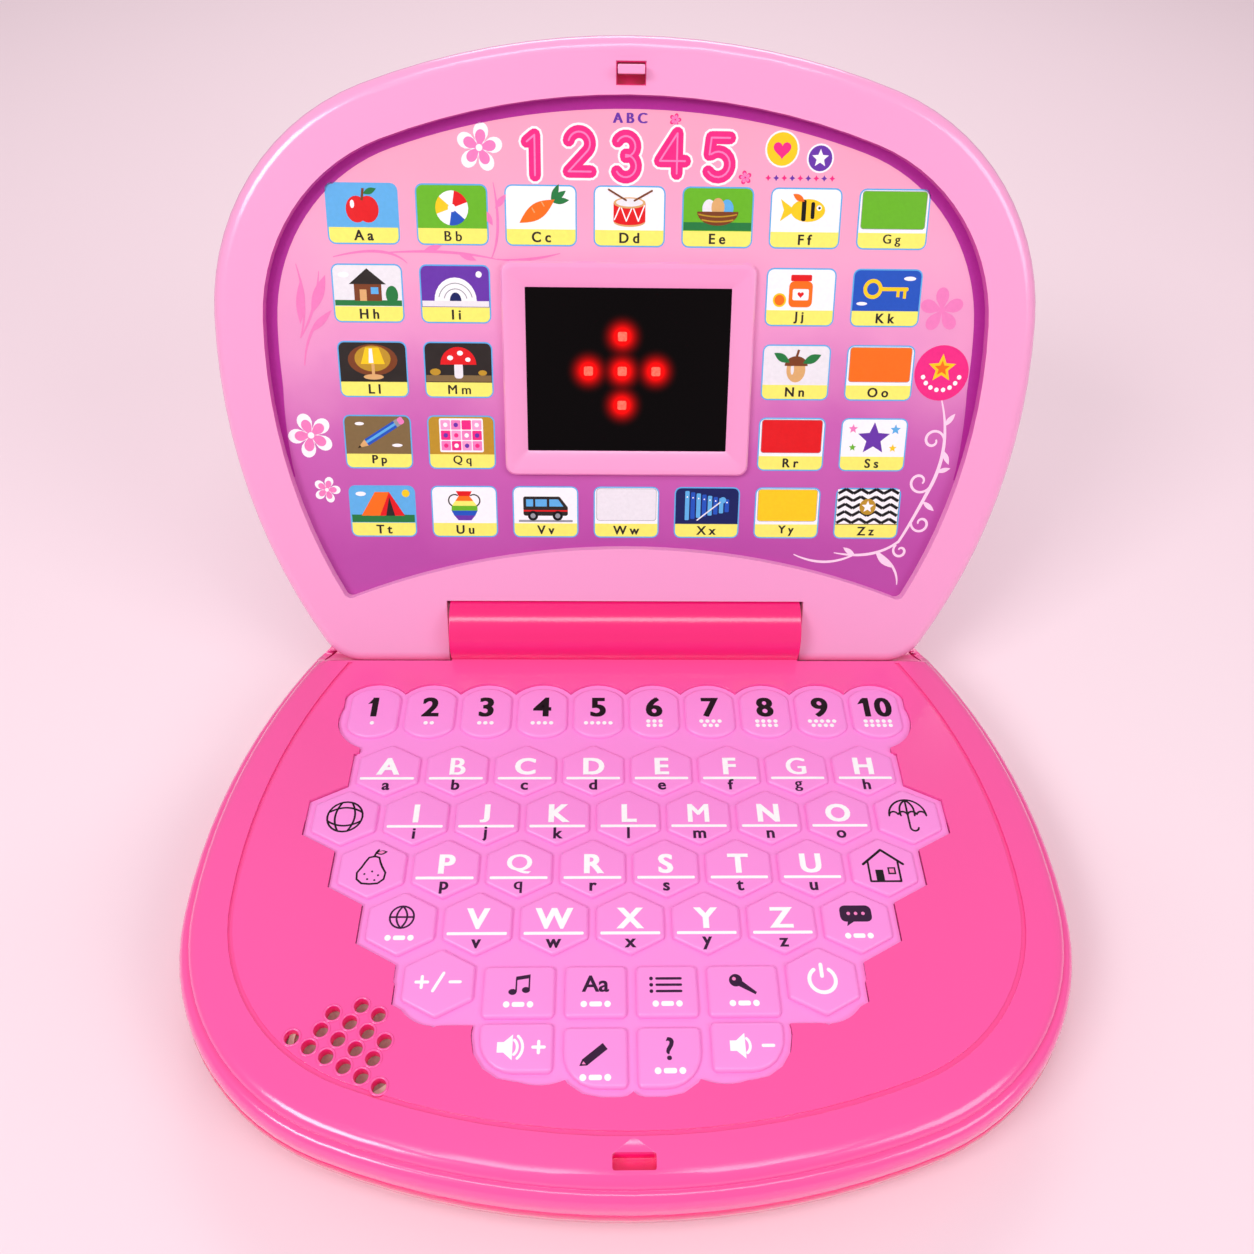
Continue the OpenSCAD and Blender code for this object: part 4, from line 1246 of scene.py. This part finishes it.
def igloo():
    door = half_disc(0, -4.1, 1.7, 2.4)
    joints = [stroke(arc((0, -4.1), radius, 12, 168, 14), 0.25) for radius in (3.4, 5)]
    return ([("pale", panel(0, -4.9, GROUND_WIDTH, 1.6)), ("white", half_disc(0, -4.1, 6.2, 6.6))]
            + [("grey", joint) for joint in joints] + [("navy", door), ("white", disc(7, 3.4, 0.9))])


def jam():
    return [("orange", panel(0, -1.3, 7, 7.4, 1.5)), ("red", panel(0, 3.3, 6.2, 1.8, 0.4)),
            ("white", panel(0, -1.4, 4.8, 3.2, 0.5)), ("red", heart(0, -1.4, 2)), ("sun", disc(-6.2, -3, 2)),
            ("orange", disc(-6.2, -3, 1.5))]


def golden_key():
    stem = [panel(2.1, 0.4, 8.6, 1.1, 0.4), panel(3.4, -0.9, 0.9, 1.9), panel(5.4, -1.1, 0.9, 2.3)]
    return ([("sun", outline) for outline in ring(-4.2, 0.4, 2.3, 1.1) + stem]
            + [("white", disc(6.6, 3.4, 1.8, 0.6)), ("white", disc(-7.2, -3.8, 1.6, 0.5))])


def lamp():
    return [("brown", disc(0, 0.6, 7.4, 4.6)), ("mustard", disc(0, 1, 5.4, 3.8)),
            ("sun", [(-3.6, -0.6), (3.6, -0.6), (2, 4.2), (-2, 4.2)]),
            ("white", [(-1.2, -0.3), (0.2, -0.3), (0, 3.9), (-0.9, 3.9)]), ("tan", panel(0, -2.4, 0.9, 3.6)),
            ("tan", disc(0, -4.4, 3, 0.8))]


def mushroom():
    spots = [("white", disc(u, v, radius, radius * 0.8, 12))
             for u, v, radius in ((-2.4, 1.4, 0.9), (0.6, 2.8, 0.9), (2.9, 0.9, 0.8))]
    return ([("olive", panel(0, -4.7, GROUND_WIDTH, 1.9)), ("pale", panel(0, -2.4, 2.6, 4.6, 0.9)),
             ("red", half_disc(0, -0.6, 5.4, 5.2))] + spots
            + [("mustard", disc(-7, -2.8, 1.6, 1)), ("mustard", disc(7.2, -3, 1.3, 0.8))])


def nut():
    return [("tan", disc(0, -1.4, 2.9, 3.7)), ("pale", disc(-1.1, -1.2, 0.5, 1.6)),
            ("brown", half_disc(0, -0.2, 3.5, 2.9)), ("brown", stroke([(0, 2.4), (0.6, 4.6)], 0.7)),
            ("leaf", leaf(2, 0.6, 6, 25)), ("leaf", leaf(-2, 0.8, 5.6, 150))]


def pencil():
    parts = [("blue", [(-3.6, -0.9), (5, -0.9), (5, 0.9), (-3.6, 0.9)]),
             ("sky", [(-3.6, -0.25), (5, -0.25), (5, 0.35), (-3.6, 0.35)]),
             ("tan", [(-3.6, -0.9), (-3.6, 0.9), (-6.2, 0)]),
             ("black", [(-5.3, -0.31), (-5.3, 0.31), (-6.2, 0)]),
             ("grey", panel(5.5, 0, 1, 1.8)), ("petal", panel(6.6, 0, 1.4, 1.8, 0.5))]
    return ([(colour, moved(outline, 0.2, 0, 32, 1.25)) for colour, outline in parts]
            + [("white", disc(-5.4, 3.4, 1.4, 0.5)), ("white", disc(5.8, -3.2, 1.6, 0.5))])


def quilt():
    """Square patches of three colours, each with a spot."""
    pitch = 3.2
    parts = [("white", panel(0, 0, 13.4, 10.4, 0.5))]
    for i in range(4):
        for j in range(3):
            place = (-4.8 + pitch * i, -3.2 + pitch * j)
            parts.append((("petal", "rose", "blush")[(i + j) % 3], panel(*place, 2.9, 2.9, 0.3)))
            parts.append((("rose", "white", "violet")[(i + 2 * j) % 3], disc(*place, 0.7, steps=10)))
    return parts


def star_picture():
    return [("violet", star(0, -0.3, 5.2)), ("petal", star(-6.6, 2.8, 1.5)), ("sky", star(6.6, 2.6, 1.7)),
            ("sun", star(6.2, -3.2, 1.3)), ("green", star(-6.4, -3, 1.2))]


def tent():
    return [("leaf", panel(0, -4.5, GROUND_WIDTH, 2.4)), ("red", [(2.2, 4), (-1, -3.6), (6.8, -3.6)]),
            ("orange", [(-2.2, 4), (2.2, 4), (-1, -3.6), (-6.8, -3.6)]),
            ("coal", [(2.2, 2.4), (0.9, -3.6), (3.7, -3.6)]), ("white", disc(-6.6, 3.4, 1.6, 0.7)),
            ("sun", disc(7.4, 3.6, 1.2))]


def urn():
    """A vase in bands of colour; each band runs from one height and half width to the next."""
    colours = ("violet", "blue", "green", "yellow", "orange", "red")
    half_widths = (2.0, 3.3, 4.1, 4.0, 2.8, 1.7, 2.5)
    heights = [-5 + 9.4 * i / len(colours) for i in range(len(colours) + 1)]
    levels = list(zip(half_widths, heights))
    bands = []
    for colour, (low_reach, low), (high_reach, high) in zip(colours, levels, levels[1:]):
        bands.append((colour, [(-low_reach, low), (low_reach, low), (high_reach, high), (-high_reach, high)]))
    return bands + pen("coal", [arc((-3, 1.4), 1.9, 60, 240, 10), arc((3, 1.4), 1.9, 120, -60, 10)], 0.4)


def van():
    body = rounded([(-7, -3.4), (7, -3.4), (7, -0.6), (4.4, 2.8), (-7, 2.8)], 0.7)
    wheels = []
    for u in (-4, 3.8):
        wheels += [("black", disc(u, -3.4, 1.6)), ("grey", disc(u, -3.4, 0.8))]
    return [("grey", panel(0, -5.1, 17, 0.7)), ("coal", body),
            ("sky", [(1.2, -0.4), (5.6, -0.4), (4, 1.9), (1.2, 1.9)]), ("sky", panel(-1.4, 0.75, 3.6, 2.3)),
            ("sky", panel(-5, 0.75, 2.2, 2.3)), ("red", panel(0, -1.8, 13.9, 0.5)), *wheels]


def xylophone():
    bars = []
    for i in range(8):
        u = -6.3 + 1.8 * i
        bars.append((("sky", "blue")[i % 2], panel(u, 0.1, 1.35, 9.4 - 0.75 * i, 0.3)))
        bars.append(("white", disc(u, 2.9 - 0.25 * i, 0.25, steps=8)))
    stick = pen("pale", [[(-3, -4.6), (4.6, 1.6)]], 0.4) + [("sky", disc(5, 1.9, 1))]
    return bars + stick


def zigzags():
    pitch = 2.4
    parts = [("white", panel(0, 0, GROUND_WIDTH, 11.2))]
    for i in range(5):
        v = -4.8 + pitch * i
        corners = [(-9.6 + pitch * k, v + (0.9 if k % 2 else -0.5)) for k in range(9)]
        parts += [("black", stroke(ends, 0.95)) for ends in zip(corners, corners[1:])]
    return parts + [("mustard", disc(0, 0, 2.6)), ("white", star(0, 0, 2))]


# The alphabet in its places on the lid: row height, then (place across, picture or plain colour, ground) from
# left to right.
OUTER = 76.6
INNER = 51.0
MIDDLE = 25.5
PICTURE_ROWS = (
    (126.8, ((-OUTER, apple, "sky"), (-INNER, ball, "green"), (-MIDDLE, carrot, "white"), (0, drum, "white"),
             (MIDDLE, eggs, "green"), (INNER, fish, "white"), (OUTER, "green", "white"))),
    (104.9, ((-OUTER, house, "pale"), (-INNER, igloo, "violet"), (INNER, jam, "white"),
             (OUTER, golden_key, "blue"))),
    (83.0, ((-OUTER, lamp, "coal"), (-INNER, mushroom, "coal"), (INNER, nut, "pale"),
            (OUTER, "orange", "white"))),
    (61.1, ((-OUTER, pencil, "olive"), (-INNER, quilt, "mustard"), (INNER, "red", "white"),
            (OUTER, star_picture, "white"))),
    (39.2, ((-OUTER, tent, "sky"), (-INNER, urn, "white"), (-MIDDLE, van, "white"), (0, "pale", "white"),
            (MIDDLE, xylophone, "navy"), (INNER, "sun", "white"), (OUTER, zigzags, "olive"))),
)
TILE_WIDTH = 20.7
TILE_HEIGHT = 16.6
TILE_RIM = 0.42
STRIP = 4.2


def tile(letter, u, v, picture, ground):
    """One picture tile: a blue rim, the picture on its ground, and a yellow strip with the letter pair."""
    wide = TILE_WIDTH / 2 - TILE_RIM
    tall = TILE_HEIGHT / 2 - TILE_RIM
    corner = 1.7
    strip = [(-wide, STRIP - tall), *arc((-wide + corner, corner - tall), corner, 180, 270, 5),
             *arc((wide - corner, corner - tall), corner, 270, 360, 5), (wide, STRIP - tall)]
    layers = [("sky", panel(0, 0, TILE_WIDTH, TILE_HEIGHT, 2.1)),
              (ground, panel(0, 0, 2 * wide, 2 * tall, corner)), ("yellow", strip)]
    drawing = swatch(picture) if isinstance(picture, str) else picture()
    layers += [(colour, moved(outline, 0, STRIP / 2 + 0.1)) for colour, outline in drawing]
    layers = [(colour, moved(outline, u, v)) for colour, outline in layers]
    lift = 0.45 if letter in "gjpqy" else 0
    label = (f"{letter.upper()} {letter}", 2.7 - lift / 2, (u, v - tall + STRIP / 2 + lift), 0.12, "coal", 6)
    print_on("tile_" + letter, LID_ART, "lid", PANEL_W, layers, [label])


def picture_tiles():
    letters = iter("abcdefghijklmnopqrstuvwxyz")
    for v, places in PICTURE_ROWS:
        for u, picture, ground in places:
            tile(next(letters), u, v, picture, ground)


def border_band():
    """The band of strong colour along the panel's upper edge, thinning out down the sides."""
    foot = 50
    full_width = 3.1
    centre = (0, 90)
    outer = whole_edge(14.6, foot)
    inner = []
    for u, v in whole_edge(15.2, foot):
        away = Vector((u - centre[0], v - centre[1])).normalized()
        width = full_width * min(max((v - 48) / 30, 0.1), 1)
        inner.append((u - away.x * width, v - away.y * width))
    return [("magenta", outer + inner[::-1])]


NUMERALS = {
    "1": [[(-1.3, 2.9), (0.5, 4.3)], [(0.5, 4.3), (0.5, -4.3)]],
    "2": [arc((0, 1.8), 2.5, 165, -35, 14), [(2.05, 0.37), (-2.5, -4.2)], [(-2.5, -4.2), (2.7, -4.2)]],
    "3": [arc((0, 2.1), 2.2, 150, -90, 14), arc((0, -2.1), 2.4, 90, -150, 14)],
    "4": [[(1.1, -4.4), (1.1, 4.2)], [(1.1, 4.2), (-2.9, -1.7)], [(-2.9, -1.7), (3, -1.7)]],
    "5": [[(2.5, 4.2), (-1.8, 4.2)], [(-1.8, 4.2), (-2.2, 0.6)], arc((-0.1, -1.5), 2.75, 128, -145, 14)],
}


def title():
    """Bubble numerals in three films: a white edge, the colour, and a fine line of light."""
    first, pitch = -27.6, 13.2
    foot, lift = 142.8, 1.0
    layers = []
    for colour, width in (("white", 4.7), ("rose", 3.4), ("petal", 0.5)):
        for i, numeral in enumerate("12345"):
            place = (first + pitch * i, foot + (lift if i % 2 else 0))
            paths = [moved(path, *place, 0, 1.22) for path in NUMERALS[numeral]]
            layers += pen(colour, paths, width)
    return layers


def flower(u, v, size, turn, outer="white", inner="petal"):
    return [(outer, blossom(u, v, size, turn, 0.28)), (inner, blossom(u, v, size * 0.72, turn, 0.2)),
            (outer, disc(u, v, size * 0.14))]


def flowers():
    return (flower(-42.6, 144.6, 6.6, 10) + flower(33, 137.6, 1.9, 30, "rose", "petal")
            + flower(12.6, 152.4, 1.7, 0, "rose", "petal") + [("petal", blossom(93.6, 101.6, 6.6, 20, 0.12))]
            + flower(-97, 63, 7, 40) + flower(-93.6, 46, 4.2, 0))


def badges():
    """A round badge with a star at the right, and two small ones over a row of beads at the top."""
    star_badge = [("rose", disc(95.6, 83.2, 8.3, steps=40)), ("sun", star(95.6, 84.6, 4.4)),
                  ("orange", star(95.6, 84.6, 2.4))]
    dots = [("white", disc(*place, 0.7, steps=12)) for place in arc((95.6, 84), 5.9, 200, 340, 7)]
    heart_badge = [("white", disc(43.2, 145.2, 4.9)), ("sun", disc(43.2, 145.2, 4.4)),
                   ("rose", heart(43.2, 145.1, 5.4))]
    violet_badge = [("white", disc(54.2, 142.9, 3.9)), ("violet", disc(54.2, 142.9, 3.4)),
                    ("white", star(54.2, 142.9, 2.5))]
    beads = [(("rose", "violet")[i % 2], star(39.6 + 2.3 * i, 137.6, 0.85, 4, 0.5)) for i in range(9)]
    return star_badge + dots + heart_badge + violet_badge + beads


def fronds():
    """Soft pink sprays at the upper left, between the tiles and the edge."""
    stems = [bow((-97.5, 92), (-94, 101), (-97, 113)), bow((-97.5, 92), (-92, 100), (-90.5, 111)),
             bow((-97, 84), (-95.5, 96), (-87.6, 100)), bow((-86, 115), (-70, 119), (-64.6, 113.4)),
             bow((-72, 116.2), (-52, 117.8), (-38, 114.6)), bow((-40, 115.2), (-36.5, 122), (-39, 135.6)),
             bow((-38.5, 114.8), (-30, 114), (-20, 116.6))]
    blades = [(-97.2, 96, 13, 84, 0.2), (-93.6, 99, 12, 66, 0.26), (-94.6, 93.6, 9, 42, 0.24),
              (-60, 116.6, 6, 18, 0.3), (-50, 116.6, 6, -22, 0.3), (-39.4, 124, 5, 120, 0.36),
              (-38.6, 128.6, 5, 50, 0.36)]
    return ([("petal", stroke(stem, 0.8, (0.3, 0.2))) for stem in stems]
            + [("petal", leaf(*place)) for place in blades])


def curl(u, v, radius, turn, side):
    """A scroll that leaves a stem at u, v and winds inward about a centre in the direction of its turn."""
    centre = moved([(radius, 0)], u, v, turn)[0]
    steps = 28
    points = []
    for i in range(steps + 1):
        share = i / steps
        reach = radius + (radius * 0.25 - radius) * share
        angle = math.radians(turn + 180 + 380 * side * share)
        points.append((centre[0] + reach * math.cos(angle), centre[1] + reach * math.sin(angle)))
    return stroke(points, 0.85, (0.7, 0.5))


def curls():
    """Pale scrolls at the lower right, between the tiles and the edge."""
    stem = bow((96.6, 75), (101.5, 60), (95.6, 47), 20) + bow((95.6, 47), (90.5, 35), (87.4, 29.6), 14)[1:]
    strokes = [stroke(stem, 1.1, (0.4, 0.8)),
               stroke(bow((87.6, 30), (80, 23.6), (67, 26.2), 18), 0.9, (0.8, 0.3)),
               stroke(bow((81, 26.4), (88.4, 22), (88.4, 15.4)), 0.8, (0.6, 0.3)),
               stroke(bow((73, 25.3), (64, 20.8), (54, 25.6)), 0.8, (0.6, 0.3)),
               curl(98.75, 62.4, 3.5, 176, 1), curl(96.2, 48.6, 3.9, 166, -1), curl(91, 36.8, 3.2, -14, 1),
               curl(86.9, 28.9, 2.5, -52, 1)]
    leaves = [(98.2, 67, 5, 52), (98.8, 59.5, 5, 296), (97.3, 52.6, 4.6, 16), (94, 43.2, 5, 322),
              (80.6, 26.2, 7.4, 318), (74, 25.2, 5, 146)]
    return [("frost", outline) for outline in strokes + [leaf(*place, 0.32) for place in leaves]]


def panel_ornaments():
    prints = {
        "border_print": border_band(), "frond_print": fronds(), "curl_print": curls(), "title_print": title(),
        "badge_print": badges(), "flower_print": flowers(),
    }
    for name, layers in prints.items():
        print_on(name, LID_ART, "lid", PANEL_W, layers)
    print_on("letter_print", LID_ART, "lid", PANEL_W, (), [
        ("A B C", 2.6, (0, 152.7), 0.3, "violet", 3)])
    squares = [("lit", panel(u, v, 2.7, 2.7, 0.5)) for u, v in LIGHT_PLACES]
    print_on("lit_squares", LID_ART, "lid", PANEL_W, squares)


# ---------------------------------------------------------------- stage, lights and camera

def stage():
    bpy.ops.mesh.primitive_plane_add(size=6, location=(0, 0, 0))
    floor = bpy.context.object
    floor.name = "studio_floor"
    material, tree, surface, place = start_material("studio_floor")
    tint = uneven(tree, place, 0.6, 3)
    tree.links.new(blend_colours(tree, tint, linear(247, 222, 231), linear(245, 217, 228)),
                   surface.inputs["Base Color"])
    surface.inputs["Roughness"].default_value = 0.7
    floor.data.materials.append(material)


def soft_light(name, place, target, size, power):
    """A rectangular lamp at this place, turned to its target; size is its width and height in metres."""
    lamp = bpy.data.lights.new(name, "AREA")
    lamp.shape = "RECTANGLE"
    lamp.size, lamp.size_y = size
    lamp.energy = power
    holder = bpy.data.objects.new(name, lamp)
    bpy.context.collection.objects.link(holder)
    holder.location = place
    holder.rotation_euler = (Vector(target) - Vector(place)).to_track_quat("-Z", "Y").to_euler()


def lights():
    world = bpy.data.worlds.new("studio")
    world.use_nodes = True
    sky = world.node_tree.nodes["Background"]
    sky.inputs["Color"].default_value = (1, 0.97, 0.985, 1)
    sky.inputs["Strength"].default_value = 0.4
    bpy.context.scene.world = world
    soft_light("key_light", (-0.72, -0.62, 0.92), (0, 0, 0.05), (0.5, 0.35), 6.2)
    soft_light("fill_light", (0.75, -0.55, 0.75), (0, 0, 0.05), (0.5, 0.5), 3)
    soft_light("rear_light", (0.05, 0.95, 0.85), (0, 0.05, 0.05), (0.9, 0.35), 4)
    soft_light("high_light", (0, -0.32, 1.2), (0, -0.05, 0), (0.8, 0.25), 3.1)


def camera():
    """The camera stands in front of the toy and looks down at it."""
    image_width = 1254
    focal_pixels = 1087.06
    sensor_width = 36
    place = Vector((-0.008, HINGE_Y - 0.24755, 0.29268))
    forward = Vector((0.0241, 0.6900, -0.7235)).normalized()
    level = Vector((0.99939, -0.03488, 0)).normalized()
    roll = math.radians(1.569)
    upright = level.cross(forward)
    right = level * math.cos(roll) + upright * math.sin(roll)
    top = right.cross(forward)
    data = bpy.data.cameras.new("camera")
    data.sensor_width = sensor_width
    data.lens = focal_pixels / image_width * sensor_width
    holder = bpy.data.objects.new("camera", data)
    bpy.context.collection.objects.link(holder)
    turn = Matrix((right, top, -forward)).transposed().to_4x4()
    holder.matrix_world = Matrix.Translation(place) @ turn
    bpy.context.scene.camera = holder


def plain_nodes():
    """Construction pieces whose own shape is right: only their finish is set."""
    finishes = {
        "key_circuit_board": BOARD, "speaker": PAPER, "batteries": CELL, "battery_contacts": STEEL,
        "battery_door": SHELL, "battery_door_screw": STEEL, "base_screws": STEEL, "rubber_feet": RUBBER,
        "hinge_pins": STEEL, "picture_panel": PANEL, "screen_window": WINDOW, "display_board": BOARD,
        "display_leds": LIGHT, "lid_screws": STEEL,
    }
    for node, material in finishes.items():
        frame["nodes"][node].data.materials.clear()
        frame["nodes"][node].data.materials.append(material)


bpy.context.scene.view_settings.view_transform = "Standard"
camera()
stage()
lights()
plain_nodes()
deck_cover()
sound_hole_rims()
belly_cover()
lid_covers()
lid_latch()
screen_frame()
keypad_sheet()
number_keys()
letter_keys()
other_moving_keys()
fixed_keys()
picture_tiles()
panel_ornaments()
